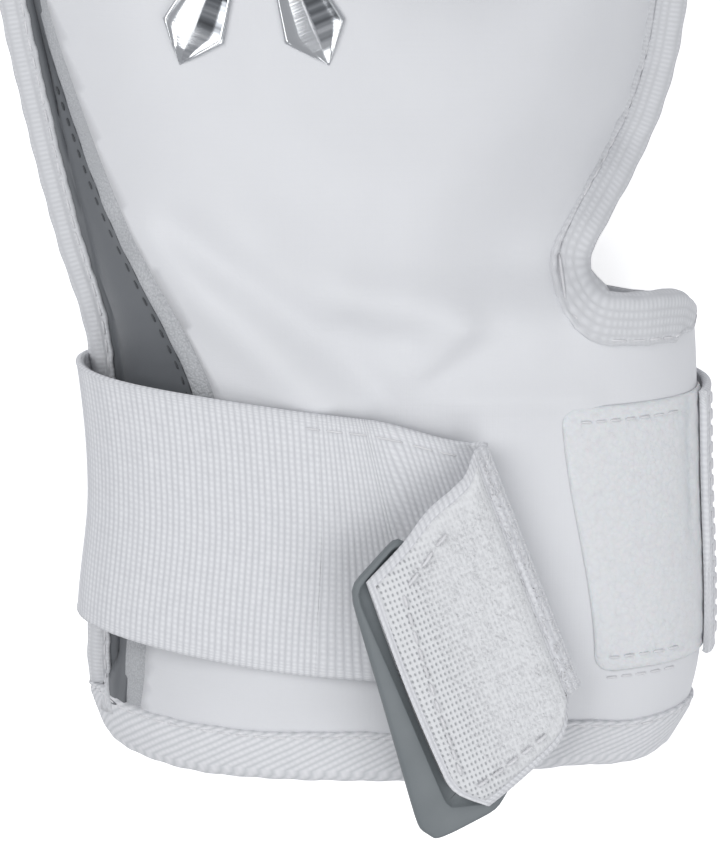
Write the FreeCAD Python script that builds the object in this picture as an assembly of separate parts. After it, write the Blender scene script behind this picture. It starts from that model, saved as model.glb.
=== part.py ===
"""Sliding mitt: a padded left-hand mitten with a soft cuff and an elastic wrist strap.

The mitt lies on its palm. X runs to the thumb side, Y to the fingertips and Z up out of the
back of the hand. The origin is on the flat palm face, in the middle of the hand. Lengths are
in millimetres, and a station is a distance from the hem of the cuff along Y.
"""
import FreeCAD
import Part
import math
import os

Vector = FreeCAD.Vector

# ---- driving dimensions -------------------------------------------------------------
HEM_Y = -150.0            # Y of the hem, so that the origin is in the middle of the palm
LENGTH = 286.0            # hem to fingertips
WRIST = 98.0              # station of the crease that the hand bends about
FLEX_GAP = 9.0            # length of soft shell between the stiff cuff and the stiff hand
WRIST_AXIS_Z = 20.0
TAPE_WIDTH = 8.0          # how far the edge binding reaches in from the edge
TAPE_HALF = 3.5           # half the thickness of a bound edge
COVER = 0.8               # outer fabric
FOAM = 3.4                # foam laminated under it
PLATE = 1.6               # hard insert in the back and in the palm
LINING = 0.8
GAP = 0.12                # room between two layers
CUFF_ROUNDNESS = 2.5      # exponent of the cuff's superellipse
CUFF_MID_Z = 23.0
CUFF_TOP = 27.0           # height of the cuff above its mid plane
CUFF_BOTTOM = 20.5        # depth below it
HEM_TAPE = 11.0           # visible height of the hem binding
STRAP_THICK = 1.6
STRAP_WIDTH = 51.0
STRAP_LIFT = 2.6          # how far the loose front of the strap stands off at its fold
FOLD_RADIUS = 2.6         # of the strap where its end is folded back
PATCH_THICK = 1.3         # hook and loop patches
TAB_THICK = 2.2
EMBLEM_THICK = 1.1
LOBE = 36.0               # how far in from the edge the padding of the back keeps rising
PALM_LOBE = 15.0
PANEL_HALF = 1.9          # half the thickness of the panels where they meet in the binding
PALM_COVER = 1.5
PALM_FOAM = 3.9
CROTCH = (28.0, 176.5)     # between the hand and the thumb
FLAP_LIFT = 16.0          # degrees between the folded strap end and the strap under it
LAYER_ROOM = 0.25         # of the cuff's foam from its lining

# Outer edge of the mitt, as (x, station), from the hem up the little-finger side, round the
# fingers, the thumb and the wrist notch, to the end of the notch's lower lip.
EDGE = [
    (-50.0, 0.0), (-53.8, 12.0), (-55.0, 30.0), (-53.6, 60.0), (-55.2, 84.0), (-60.8, 104.0),
    (-67.2, 130.0), (-71.4, 156.0), (-72.1, 185.0), (-71.0, 215.0), (-66.5, 243.0),
    (-56.0, 266.0), (-41.0, 281.0), (-23.5, LENGTH), (-6.0, 281.0), (9.0, 266.0),
    (18.5, 244.0), (22.5, 218.0), (23.5, 195.0), (25.0, 181.0), (28.0, 176.5), (31.0, 181.0),
    (33.0, 196.0), (37.0, 210.5), (44.0, 220.5), (53.0, 224.0), (62.0, 219.5), (68.0, 207.0),
    (69.8, 192.0), (68.8, 176.0), (66.6, 164.0), (64.4, 152.0), (61.0, 139.0), (55.0, 127.0),
    (48.5, 117.0), (45.2, 108.5), (45.2, 102.5), (48.5, 98.6), (54.0, 97.6), (60.0, 97.8),
    (64.2, 95.5), (66.2, 91.0),
]
LIP_START = 3             # how many of the last points lie on the notch's lower lip

# Where the back panel is cut away for the side gusset, as (station, x).
GUSSET_LINE = [
    (-4.0, -50.5), (14.0, -48.0), (27.0, -46.5), (50.0, -37.0), (74.0, -32.0), (88.0, -37.0),
    (109.0, -48.8), (130.0, -57.0), (152.0, -63.5), (175.0, -67.2), (190.0, -70.4),
]
FOAM_SHOWS = 2.6          # width of raw foam left visible beside the gusset


def smooth(points, at):
    """Cubic curve through (position, value) points, read at one position."""
    if at <= points[0][0]:
        return points[0][1]
    if at >= points[-1][0]:
        return points[-1][1]
    i = max(k for k, p in enumerate(points[:-1]) if p[0] <= at)

    def slope(k):
        lo, hi = max(k - 1, 0), min(k + 1, len(points) - 1)
        return (points[hi][1] - points[lo][1]) / (points[hi][0] - points[lo][0])

    (x0, y0), (x1, y1) = points[i], points[i + 1]
    step = x1 - x0
    t = (at - x0) / step
    return ((2 * t**3 - 3 * t**2 + 1) * y0 + (t**3 - 2 * t**2 + t) * step * slope(i)
            + (3 * t**2 - 2 * t**3) * y1 + (t**3 - t**2) * step * slope(i + 1))


def ease(t):
    """0 to 1 with flat ends."""
    t = min(max(t, 0.0), 1.0)
    return t * t * (3 - 2 * t)


def spot(x, station, z):
    return Vector(x, HEM_Y + station, z)


# ---- the edge in plan ---------------------------------------------------------------
def spline(points):
    curve = Part.BSplineCurve()
    curve.interpolate(points)
    return curve


def edge_samples(step=2.0):
    """(x, station, inward x, inward station) evenly along the mitt's outer edge."""
    curve = spline([Vector(x, s, 0) for x, s in EDGE])
    count = int(curve.length() / step)
    first, last = curve.FirstParameter, curve.LastParameter
    samples = []
    for k in range(count + 1):
        u = curve.parameterAtDistance(curve.length() * k / count, first)
        p, t = curve.value(min(u, last)), curve.tangent(min(u, last))[0]
        samples.append((p.x, p.y, t.y, -t.x))
    return samples


RIM = edge_samples()


def from_edge(x, station):
    """Distance in plan from the nearest point of the outer edge."""
    return math.sqrt(min((x - e[0]) ** 2 + (station - e[1]) ** 2 for e in RIM))


def inset(distance):
    """Points of the edge moved inward, without those that would fold over."""
    kept = []
    for x, s, nx, ns in RIM:
        p = (x + nx * distance, s + ns * distance)
        if from_edge(*p) > distance - 0.08:
            kept.append(p)
    return kept


def hand_region(distance, start, crotch_room=0.0):
    """Solid column over the hand, its edge moved inward, from a station to the fingertips."""
    points = [p for p in inset(distance) if p[1] > start + 1.0]
    every = 2 if distance < 5 else 3
    points = points[::every] + ([points[-1]] if (len(points) - 1) % every > 1 else [])
    left = Vector(points[0][0] + 0.3, start, 0)
    right = Vector(points[-1][0], start, 0)
    path = [left] + [Vector(x, s, 0) for x, s in points] + [right]
    rim = spline(path).toShape()
    face = Part.Face(Part.Wire([rim, Part.makeLine(right, left)]))
    if crotch_room:
        face = face.cut(Part.Face(Part.Wire(Part.makeCircle(crotch_room, Vector(CROTCH[0], CROTCH[1], 0)))))
    face.translate(Vector(0, HEM_Y, -20))
    return face.extrude(Vector(0, 0, 100))


def gusset_zone(shift, start, end):
    """Solid column over the side gusset; shift moves its inner edge to the right."""
    steps = 9
    line = []
    for k in range(steps + 1):
        s = start + (end - start) * k / steps
        line.append(Vector(smooth(GUSSET_LINE, s) + shift, s, 0))
    far_low, far_high = Vector(-90, start, 0), Vector(-90, end, 0)
    wire = Part.Wire([spline(line).toShape(), Part.makeLine(line[-1], far_high),
                      Part.makeLine(far_high, far_low), Part.makeLine(far_low, line[0])])
    face = Part.Face(wire)
    face.translate(Vector(0, HEM_Y, -20))
    return face.extrude(Vector(0, 0, 100))


# ---- heights ------------------------------------------------------------------------
def seam_height(x, station):
    """The seam runs at mid height and climbs onto the back round the wrist notch."""
    level = smooth([(90, 18.0), (115, 15.5), (140, 13.0), (LENGTH, 12.0)], station)
    return level + 17.0 * ease((126.0 - station) / 22.0) * ease((x - 8.0) / 32.0)


def crown(station):
    """Height of the padded back along its middle."""
    return smooth([(95, 50.0), (125, 44.5), (160, 39.5), (210, 35.0), (LENGTH, 28.0)], station)


def rise(distance, reach):
    """0 to 1 over a rounded shoulder that starts just inside the binding."""
    t = min(max((distance - TAPE_WIDTH + 0.4) / reach, 0.0), 1.0)
    return (1 - (1 - t) ** 2) ** 0.8


def back_height(x, station):
    low = seam_height(x, station) + PANEL_HALF
    return low + (crown(station) - low) * rise(from_edge(x, station), LOBE)


def palm_height(x, station):
    low = seam_height(x, station) - PANEL_HALF
    return low - (low + 0.6) * rise(from_edge(x, station) - 0.8, PALM_LOBE)


def gusset_height(x, station):
    """The gusset leaves the seam at the surface and dives under the foam of the back panel."""
    inward = from_edge(x, station) - TAPE_WIDTH
    return back_height(x, station) - 0.1 - (COVER + FOAM + 2 * GAP) * ease((inward + 1.0) / 4.0)


def height_face(height, start, end, steps_x=30, steps_s=38, low_x=-78.0, high_x=76.0):
    """Smooth face over the hand at a height given as a function of x and station."""
    rows = []
    for i in range(steps_x + 1):
        x = low_x + (high_x - low_x) * i / steps_x
        row = []
        for j in range(steps_s + 1):
            s = start + (end - start) * j / steps_s
            row.append(spot(x, s, height(x, s)))
        rows.append(row)
    surface = Part.BSplineSurface()
    surface.interpolate(rows)
    return surface.toShape()


# ---- the cuff -----------------------------------------------------------------------
def cuff_sides(station):
    """Left and right of the cuff at a station."""
    left = smooth([(0, -50.0), (12, -53.8), (30, -55.0), (60, -53.6), (84, -55.2), (104, -60.8)], station)
    right = smooth([(0, 60.0), (10, 65.0), (25, 68.0), (60, 67.6), (86, 66.6), (104, 64.4)], station)
    return left, right


def hem_curve(angle):
    """The hem is cut a little shorter at the sides than in the middle of the back."""
    return 0.8 * abs(math.cos(math.radians(angle))) ** 2.2


def cuff_point(angle, station, out):
    """Point of the cuff at an angle round it (0 thumb side, 90 back), moved out by out."""
    left, right = cuff_sides(station)
    mid, half = (left + right) / 2, (right - left) / 2
    c, s = math.cos(math.radians(angle)), math.sin(math.radians(angle))
    tall = CUFF_TOP if s > 0 else CUFF_BOTTOM
    power = 2 / CUFF_ROUNDNESS
    px = math.copysign(abs(c) ** power, c)
    pz = math.copysign(abs(s) ** power, s)
    nx = math.copysign(abs(px) ** (CUFF_ROUNDNESS - 1), px) / half
    nz = math.copysign(abs(pz) ** (CUFF_ROUNDNESS - 1), pz) / tall
    size = math.hypot(nx, nz)
    return spot(mid + half * px + out * nx / size, station, CUFF_MID_Z + tall * pz + out * nz / size)


def cuff_angle(x, station):
    """Angle of the point of the cuff's back at a given x."""
    left, right = cuff_sides(station)
    c = (x - (left + right) / 2) / ((right - left) / 2)
    c = min(max(c, -1.0), 1.0)
    return math.degrees(math.acos(math.copysign(abs(c) ** (CUFF_ROUNDNESS / 2), c)))


# ---- solids from surfaces -----------------------------------------------------------
def solid_of(faces):
    shell = Part.makeShell(faces)
    shell.sewShape()
    solid = Part.makeSolid(shell)
    if solid.Volume < 0:
        solid.reverse()
    return solid


def sheet(place, inner, outer, count_u, count_v):
    """Closed sheet between two offsets of the surface place(u, v, offset), u and v in 0..1."""
    surfaces = []
    for offset in (inner, outer):
        rows = [[place(i / count_u, j / count_v, offset) for j in range(count_v + 1)]
                for i in range(count_u + 1)]
        surface = Part.BSplineSurface()
        surface.interpolate(rows)
        surfaces.append(surface)
    low, high = surfaces
    u0, u1, v0, v1 = low.bounds()
    sides = [(s.uIso(u0), s.uIso(u1), s.vIso(v0), s.vIso(v1)) for s in (low, high)]
    faces = [low.toShape(), high.toShape()]
    for a, b in zip(*sides):
        faces.append(Part.makeRuledSurface(a.toShape(), b.toShape()))
    return solid_of(faces)


def bound_edge(v, deep_out, deep_in, half):
    """Tape folded over an edge: depth below the edge, side, and the outward normal, v in 0..1."""
    leg_out, arc, leg_in = deep_out - half, math.pi * half, deep_in - half
    t = v * (leg_out + arc + leg_in)
    if t < leg_out:
        return deep_out - t, half, 0.0, 1.0
    if t > leg_out + arc:
        return half + t - leg_out - arc, -half, 0.0, -1.0
    a = (t - leg_out) / half
    return half - half * math.sin(a), half * math.cos(a), -math.sin(a), math.cos(a)


def save(name, shape):
    solids = shape.Solids
    result = Part.makeCompound(solids) if len(solids) > 1 else solids[0]
    good = all(s.isValid() and s.Volume > 0 for s in solids)
    print(name, len(solids), "valid" if good else "BAD", round(sum(s.Volume for s in solids), 1))
    result.exportStep("parts/" + name + ".step")
    return result


def layer(face, thickness, region):
    """Slab under a height face, trimmed to a column."""
    return face.extrude(Vector(0, 0, -thickness)).common(region)


def lowered(face, amount):
    moved = face.copy()
    moved.translate(Vector(0, 0, -amount))
    return moved


def stitches(place, count, length, width=0.5, height=0.45):
    """Separate short stitches; place(t) gives the middle, the run and the normal of each."""
    made = []
    for k in range(count):
        middle, run, normal = place((k + 0.5) / count)
        across = run.cross(normal).normalize()
        low = middle - run * (length / 2) - across * (width / 2)
        base = Part.makePolygon([low, low + run * length, low + run * length + across * width,
                                 low + across * width, low])
        made.append(Part.Face(base).extrude(normal * height))
    return Part.makeCompound(made)


# ---- hand ---------------------------------------------------------------------------
HAND_START = WRIST + FLEX_GAP / 2
CUFF_END = WRIST - FLEX_GAP / 2


def make_hand():
    top = height_face(back_height, HAND_START - 4, LENGTH + 6)
    under = height_face(palm_height, HAND_START - 4, LENGTH + 6)
    side = height_face(gusset_height, HAND_START - 4, 215.0)
    foam_top = lowered(top, COVER + GAP)
    plate_top = lowered(foam_top, FOAM + GAP)
    lining_top = lowered(plate_top, PLATE + GAP)
    shell_region = hand_region(2.2, HAND_START)
    foam_region = hand_region(TAPE_WIDTH + 2.5, HAND_START, TAPE_WIDTH + 10.0)
    plate_region = hand_region(24.0, HAND_START + 8)
    lining_region = hand_region(15.0, HAND_START)

    save("back_shell", layer(top, COVER, shell_region).cut(gusset_zone(FOAM_SHOWS, 80, 190)))
    save("back_foam_pad", layer(foam_top, FOAM, foam_region).cut(gusset_zone(0.0, 80, 190)))
    save("back_insert_plate", layer(plate_top, PLATE, plate_region))
    save("back_lining", layer(lining_top, LINING, lining_region))
    zone = gusset_zone(-0.2, HAND_START, 174.0)
    save("side_gusset", layer(side, COVER, shell_region).common(zone))

    floor = Part.makeBox(300, 400, 30, Vector(-150, -200, -30))
    palm = under.extrude(Vector(0, 0, PALM_COVER)).common(shell_region).cut(floor)
    save("palm_shell", palm)
    level = PALM_COVER + GAP
    for name, thickness, region in (("palm_foam_pad", PALM_FOAM, foam_region),
                                    ("palm_insert_plate", PLATE, plate_region),
                                    ("palm_lining", LINING, lining_region)):
        slab = lowered(under, -level).extrude(Vector(0, 0, thickness))
        save(name, slab.common(region))
        level += thickness + GAP


def make_edge_binding():
    samples = edge_samples(3.2)
    first = min(k for k, e in enumerate(samples) if e[1] > HAND_START)
    last = max(k for k, e in enumerate(samples) if e[1] > HAND_START - 0.6 and e[0] < 46.5 or e[1] > 120)
    run = samples[first:last + 1]

    def place(u, v, out):
        k = min(int(round(u * (len(run) - 1))), len(run) - 1)
        x, s, nx, ns = run[k]
        deep, side, n_deep, n_side = bound_edge(v, TAPE_WIDTH - 2.0, TAPE_WIDTH - 2.0, TAPE_HALF)
        deep += out * n_deep
        x, s = x + nx * deep, s + ns * deep
        return spot(x, s, seam_height(x, s) + side + out * n_side)

    save("edge_binding", sheet(place, -COVER, 0.0, len(run) - 1, 14))


def make_emblem():
    """Eight tapered blades set in a ring round an empty centre."""
    top = height_face(back_height, HAND_START - 4, LENGTH + 6)
    lifted = lowered(top, -(0.1 + EMBLEM_THICK))
    middle_x, middle_s, inner, outer = -20.0, 176.0, 12.0, 37.0
    blades = []
    for k in range(8):
        a = math.radians(22.5 + 45 * k)
        along, across = Vector(math.cos(a), math.sin(a), 0), Vector(-math.sin(a), math.cos(a), 0)
        centre = spot(middle_x, middle_s, 0)
        corners = [centre + along * inner - across * 2.4, centre + along * (outer - 5) - across * 6.2,
                   centre + along * outer, centre + along * (outer - 5) + across * 6.2,
                   centre + along * inner + across * 2.4]
        column = Part.Face(Part.makePolygon(corners + corners[:1])).extrude(Vector(0, 0, 90))
        blades.append(layer(lifted, EMBLEM_THICK, column))
    save("emblem", Part.makeCompound(blades))


def make_gusset_stitching():
    side = height_face(gusset_height, HAND_START - 4, 215.0)

    def on_gusset(station):
        x = smooth(GUSSET_LINE, station) - 2.6
        needle = Part.makeLine(spot(x, station, -60), spot(x, station, 120))
        return side.section(needle).Vertexes[0].Point + Vector(0, 0, 0.35)

    def place(t):
        s = 106.0 + 26.0 * t
        return on_gusset(s), (on_gusset(s + 1) - on_gusset(s - 1)).normalize(), Vector(0, 0, 1)

    save("gusset_stitching", stitches(place, 9, 2.0))


# ---- cuff ---------------------------------------------------------------------------
def cuff_sheet(low, high, start, end, outer, thickness, columns, rows=14):
    """Sheet on the cuff between two angles; low and high may depend on the station."""
    def place(u, v, out):
        s = start + (end - start) * v
        a = low(s) + (high(s) - low(s)) * u
        lift = hem_curve(a) * (1 - ease(s / 40.0))
        return cuff_point(a, s, outer + out) + Vector(0, lift, 0)

    return sheet(place, -thickness, 0.0, columns, rows)


def gusset_angle(shift):
    return lambda s: cuff_angle(smooth(GUSSET_LINE, s) + shift, s)


def make_cuff():
    wall = COVER + FOAM

    def at(angle):
        return lambda s: angle

    panel = wall - LAYER_ROOM
    save("cuff_back_panel", cuff_sheet(at(2.0), gusset_angle(FOAM_SHOWS + 0.35), 2.2, CUFF_END, 0.0, panel, 36))
    save("cuff_foam_edge", cuff_sheet(gusset_angle(FOAM_SHOWS), gusset_angle(0.0), 2.2, CUFF_END,
                                      -COVER, FOAM - LAYER_ROOM, 3))
    save("cuff_palm_panel", cuff_sheet(at(195.0), at(359.6), 2.2, CUFF_END, 0.0, panel, 44))
    save("cuff_lining", cuff_sheet(at(-89.7), at(269.7), 2.8, CUFF_END - 2.2, -wall - GAP, LINING, 90))

    def gusset(u, v, out):
        s = 2.2 + (CUFF_END - 2.2) * v
        edge = gusset_angle(-0.4)(s)
        a = edge + (194.4 - edge) * u
        depth = (wall - 1.25) * ease((194.4 - a) / 14.0 - 0.6)
        return cuff_point(a, s, out - depth) + Vector(0, hem_curve(a) * (1 - ease(s / 40.0)), 0)

    save("cuff_gusset", sheet(gusset, -COVER, 0.0, 14, 8))

    half = (wall + GAP + LINING) / 2 + 0.55 + COVER
    centre = -(wall + GAP + LINING) / 2

    def hem(u, v, out):
        a = -89.7 + 359.4 * u
        deep, side, n_deep, n_side = bound_edge(v, HEM_TAPE, HEM_TAPE - 2, half)
        s = -1.2 + deep + out * n_deep
        lift = hem_curve(a) * (1 - ease(s / 40.0))
        return cuff_point(a, s, centre + side + out * n_side) + Vector(0, lift, 0)

    save("hem_binding", sheet(hem, -COVER, 0.0, 90, 14))

    def lip(u, v, out):
        a = cuff_angle(46.4, 96) + (3.0 - cuff_angle(46.4, 96)) * u
        deep, side, n_deep, n_side = bound_edge(v, 10.0, 9.0, half)
        s = 98.0 - 2.2 * ease(u * 4 - 3) - deep - out * n_deep
        return cuff_point(a, s, centre + side + out * n_side)

    save("notch_lip_binding", sheet(lip, -COVER, 0.0, 14, 14))


def make_wrist():
    """Soft parts of the shell that the wrist bends."""
    def back(u, v, out):
        s = CUFF_END + 0.5 + (FLEX_GAP - 1.0) * v
        x = -44.0 + 78.0 * u
        a = cuff_angle(x, CUFF_END)
        z = (1 - v) * cuff_point(a, CUFF_END, 0).z + v * back_height(x, HAND_START)
        return spot(x, s, z + out)

    def palm(u, v, out):
        s = CUFF_END + 0.5 + (FLEX_GAP - 1.0) * v
        x = -42.0 + 72.0 * u
        z = (1 - v) * cuff_point(-cuff_angle(x, CUFF_END), CUFF_END, 0).z + v * max(palm_height(x, HAND_START), 0)
        return spot(x, s, z + out)

    save("wrist_back_flex_panel", sheet(back, -COVER - FOAM, 0.0, 18, 4))
    save("wrist_palm_flex_panel", sheet(palm, 0.1, COVER + FOAM, 18, 4))


# ---- strap --------------------------------------------------------------------------
FOLD_TOP_X = 21.0         # where the strap's two edges turn over at the fold
FOLD_LOW_X = 39.2
STRAP_GAP = 0.4


def strap_edges(x):
    t = (x + 55.0) / 98.0
    return 81.4 - 9.9 * t - 2.5 * ease((x - 2.0) / 19.0), 26.0 - 5.2 * t


def strap_point(u, v, out):
    """u along the front run from the little-finger side to the fold, v from its upper edge."""
    x_end = FOLD_TOP_X + (FOLD_LOW_X - FOLD_TOP_X) * v
    a = 177.0 + (cuff_angle(x_end, 45.0) - 177.0) * u
    x = cuff_point(a, 45.0, 0).x
    high, low = strap_edges(x)
    s = high + (low - high) * v
    return cuff_point(a, s, STRAP_GAP + STRAP_LIFT * ease((u - 0.5) / 0.5) + out)


def fold_frame():
    """Axis point, axis direction and the two plate directions of the folded strap end."""
    top, low = strap_point(1, 0, STRAP_THICK / 2), strap_point(1, 1, STRAP_THICK / 2)
    along = (low - top).normalize()
    level = Vector(-along.y, along.x, 0).normalize() * -1
    if level.x > 0:
        level = level * -1
    up = along.cross(level).normalize()
    if up.z < 0:
        up = up * -1
    axis = (top + low) * 0.5 + up * FOLD_RADIUS
    lift = math.radians(FLAP_LIFT)
    back = level * math.cos(lift) + up * math.sin(lift)
    normal = up * math.cos(lift) - level * math.sin(lift)
    return axis, along, back, normal, level, up


AXIS, ALONG, BACK, NORMAL, LEVEL, UP = fold_frame()


def flap_spot(p, q, height):
    """p along the fold, q away from it, height above the middle of the folded webbing."""
    return AXIS + NORMAL * (FOLD_RADIUS + height) + ALONG * p + BACK * q


def plate(outline, low, high, round_at=3.0):
    """Flat plate on the folded strap end with rounded corners."""
    points = [flap_spot(p, q, low) for p, q in outline]
    edges = []
    count = len(points)
    for k in range(count):
        before, here, after = points[k - 1], points[k], points[(k + 1) % count]
        r = min(round_at, (before - here).Length / 2.2, (after - here).Length / 2.2)
        first = here + (before - here).normalize() * r
        second = here + (after - here).normalize() * r
        middle = here + ((first - here) + (second - here)) * 0.29
        edges.append((first, middle, second))
    wires = []
    for k, (first, middle, second) in enumerate(edges):
        wires.append(Part.Arc(first, middle, second).toShape())
        wires.append(Part.makeLine(second, edges[(k + 1) % count][0]))
    return Part.Face(Part.Wire(wires)).extrude(NORMAL * (high - low))


FLAP = [(-26.4, 0.3), (-11.8, 28.4), (34.8, 28.8), (39.4, 21.3), (27.4, 0.3)]
HOOK = [(-22.4, 3.6), (-10.4, 26.6), (33.6, 27.0), (37.4, 20.8), (26.8, 3.6)]
TAB = [(-16.6, 19.3), (-11.3, 31.6), (37.8, 36.3), (41.0, 34.0), (40.7, 21.0)]


def make_strap():
    save("strap_front_run", sheet(lambda u, v, out: strap_point(u * 0.997, v, out), 0.0, STRAP_THICK, 30, 8))

    def root(u, v, out):
        a = 14.0 - 190.0 * u
        high, low = 76.5 + 5.0 * u, 22.0 + 4.0 * u
        step = (PATCH_THICK + 0.15) * (1 - ease((a + 24.0) / -10.0)) if a < -14 else PATCH_THICK + 0.15
        return cuff_point(a, high + (low - high) * v, 0.2 + step + out)

    save("strap_back_run", sheet(root, 0.0, STRAP_THICK, 56, 6))

    def bend(u, v, out):
        a = math.radians(-89 + (90 - FLAP_LIFT + 88) * u)
        r = FOLD_RADIUS + out
        p = -26.2 + 52.4 * v
        return AXIS + ALONG * p - LEVEL * (math.cos(a) * r) + UP * (math.sin(a) * r)

    half = STRAP_THICK / 2
    save("strap_fold_bend", sheet(bend, -half, half, 8, 2))
    save("strap_end", plate(FLAP, -half, half, 2.6))
    save("hook_patch", plate(HOOK, half + 0.1, half + 0.1 + PATCH_THICK, 2.0))
    save("pull_tab", plate(TAB, -half - 0.1 - TAB_THICK, -half - 0.1, 2.4))

    def patch_stitch(t):
        (p0, q0), (p1, q1) = HOOK[1], HOOK[2]
        p, q = p0 + (p1 - p0) * (0.06 + 0.88 * t), q0 + (q1 - q0) * (0.06 + 0.88 * t) - 2.0
        run = (ALONG * (p1 - p0) + BACK * (q1 - q0)).normalize()
        return flap_spot(p, q, half + PATCH_THICK + 0.15), run, NORMAL

    save("hook_patch_stitching", stitches(patch_stitch, 11, 3.0))


def make_cuff_trim():
    def loop(u, v, out):
        x = 40.0 + 6.0 * ease(v)
        a = cuff_angle(x, 45) * (1 - u) + 2.0 * u
        return cuff_point(a, 76.0 - 53.0 * v, 0.1 + out)

    save("loop_patch", sheet(loop, 0.0, PATCH_THICK, 18, 6))

    def on_cuff(a, s, out):
        middle = cuff_point(a, s, out)
        normal = (cuff_point(a, s, out + 1) - middle).normalize()
        return middle, normal

    def loop_stitch(t):
        a = 44.0 - 26.0 * t
        middle, normal = on_cuff(a, 73.5, PATCH_THICK + 0.15)
        ahead = cuff_point(a - 1, 73.5, PATCH_THICK + 0.15)
        return middle, (ahead - middle).normalize(), normal

    save("loop_patch_stitching", stitches(loop_stitch, 9, 2.2))

    def root_stitch(t):
        a = 8.0
        s = 27.0 + 44.0 * t
        middle, normal = on_cuff(a, s, PATCH_THICK + STRAP_THICK + 0.4)
        return middle, Vector(0, 1, 0), normal

    save("strap_root_stitching", stitches(root_stitch, 12, 2.4))


if __name__ == "__main__":
    os.makedirs("parts", exist_ok=True)
    make_hand()
    make_edge_binding()
    make_emblem()
    make_gusset_stitching()
    make_cuff()
    make_wrist()
    make_strap()
    make_cuff_trim()
    print("fold axis", AXIS, ALONG, BACK)
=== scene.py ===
"""Looks of a padded left-hand sliding mitt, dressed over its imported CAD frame.

Sizes are written in millimetres and turned to metres where a mesh is made. X runs to the thumb
side, Y to the fingertips and Z up out of the back of the hand. A station is a distance from
the hem of the cuff towards the fingertips.
"""
import logging
import math
from dataclasses import dataclass, field
from enum import Enum
from functools import partial
from typing import Callable, Iterable, Sequence

import bmesh
import bpy
import numpy as np
from mathutils import Matrix, Vector
from mathutils.geometry import delaunay_2d_cdt


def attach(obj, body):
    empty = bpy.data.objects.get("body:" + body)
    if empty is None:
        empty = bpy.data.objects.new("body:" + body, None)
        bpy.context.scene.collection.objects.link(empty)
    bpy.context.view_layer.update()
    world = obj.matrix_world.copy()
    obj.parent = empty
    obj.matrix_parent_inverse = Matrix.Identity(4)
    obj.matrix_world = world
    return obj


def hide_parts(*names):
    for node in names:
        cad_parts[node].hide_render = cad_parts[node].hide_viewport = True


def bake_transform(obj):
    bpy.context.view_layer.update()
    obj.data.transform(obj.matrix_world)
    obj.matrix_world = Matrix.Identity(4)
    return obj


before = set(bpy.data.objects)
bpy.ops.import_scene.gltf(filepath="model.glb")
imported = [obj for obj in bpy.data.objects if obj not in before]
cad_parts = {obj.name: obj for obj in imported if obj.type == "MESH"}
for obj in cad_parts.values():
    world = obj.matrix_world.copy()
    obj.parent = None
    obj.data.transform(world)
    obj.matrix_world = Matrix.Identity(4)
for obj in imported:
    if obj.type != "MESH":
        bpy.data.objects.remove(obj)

LOG = logging.getLogger("mitt")
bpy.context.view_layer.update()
MM = 0.001
HEM_Y = -150.0
BLOCK = 4000
RIB_ROUNDNESS = 0.6
Array = np.ndarray
Piece = bpy.types.Object
Material = bpy.types.Material
Tree = bpy.types.NodeTree
Node = bpy.types.Node
Socket = bpy.types.NodeSocket
Side = Callable[[Array], tuple[Array, Array]]


class Body(Enum):
    """Rigid bodies of the frame that a piece can ride on."""

    HAND = "hand"
    CUFF = "cuff"
    STRAP = "strap"
    STRAP_END = "strap_end"


class Slot(Enum):
    """Finishes of the record that a piece can take."""

    KNIT = "shell_knit"
    FOAM = "foam"
    PLATE = "insert_plate"
    LINING = "lining"
    PALM = "palm_leather"
    GUSSET = "gusset_fabric"
    TAPE = "binding_tape"
    ELASTIC = "elastic"
    HOOK = "hook_tape"
    LOOP = "loop_tape"
    TAB = "pull_tab_rubber"
    THREAD = "stitch_thread"
    DARK_THREAD = "dark_thread"
    EMBLEM = "emblem_film"


# ---- numbers ------------------------------------------------------------------------
def ease(t: Array | float) -> Array:
    """Value from 0 to 1 with flat ends."""
    t = np.clip(t, 0.0, 1.0)
    return t * t * (3 - 2 * t)


def curve_through(points: Sequence[tuple[float, float]], at: Array | float) -> Array:
    """Reads a smooth cubic curve through a few points.

    Args:
        points: (position, value) pairs in rising order.
        at: Positions to read.

    Returns:
        The values there, held level past both ends.
    """
    x, y = np.array(points, float).T
    at = np.clip(np.asarray(at, float), x[0], x[-1])
    k = np.clip(np.searchsorted(x, at, side="right") - 1, 0, len(x) - 2)
    slope = np.empty_like(y)
    slope[1:-1] = (y[2:] - y[:-2]) / (x[2:] - x[:-2])
    slope[0], slope[-1] = (y[1] - y[0]) / (x[1] - x[0]), (y[-1] - y[-2]) / (x[-1] - x[-2])
    step = x[k + 1] - x[k]
    t = (at - x[k]) / step
    return ((2 * t**3 - 3 * t**2 + 1) * y[k] + (t**3 - 2 * t**2 + t) * step * slope[k]
            + (3 * t**2 - 2 * t**3) * y[k + 1] + (t**3 - t**2) * step * slope[k + 1])


def bell(t: Array, middle: float, width: float) -> Array:
    """Smooth hump of height 1."""
    return np.exp(-((t - middle) / width) ** 2)


def lengths(line: Array) -> Array:
    """Distance of each point of a polyline from its start."""
    return np.concatenate([[0], np.cumsum(np.linalg.norm(np.diff(line, axis=0), axis=1))])


def gap_to(line: Array, points: Array) -> Array:
    """Distance from each point to the nearest point of a line."""
    return np.concatenate([np.linalg.norm(points[k:k + BLOCK, None] - line[None], axis=2).min(axis=1)
                           for k in range(0, len(points), BLOCK)])


def signed_power(t: Array, power: float) -> Array:
    """Power of the size of t, with the sign of t."""
    return np.sign(t) * np.abs(t) ** power


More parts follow.
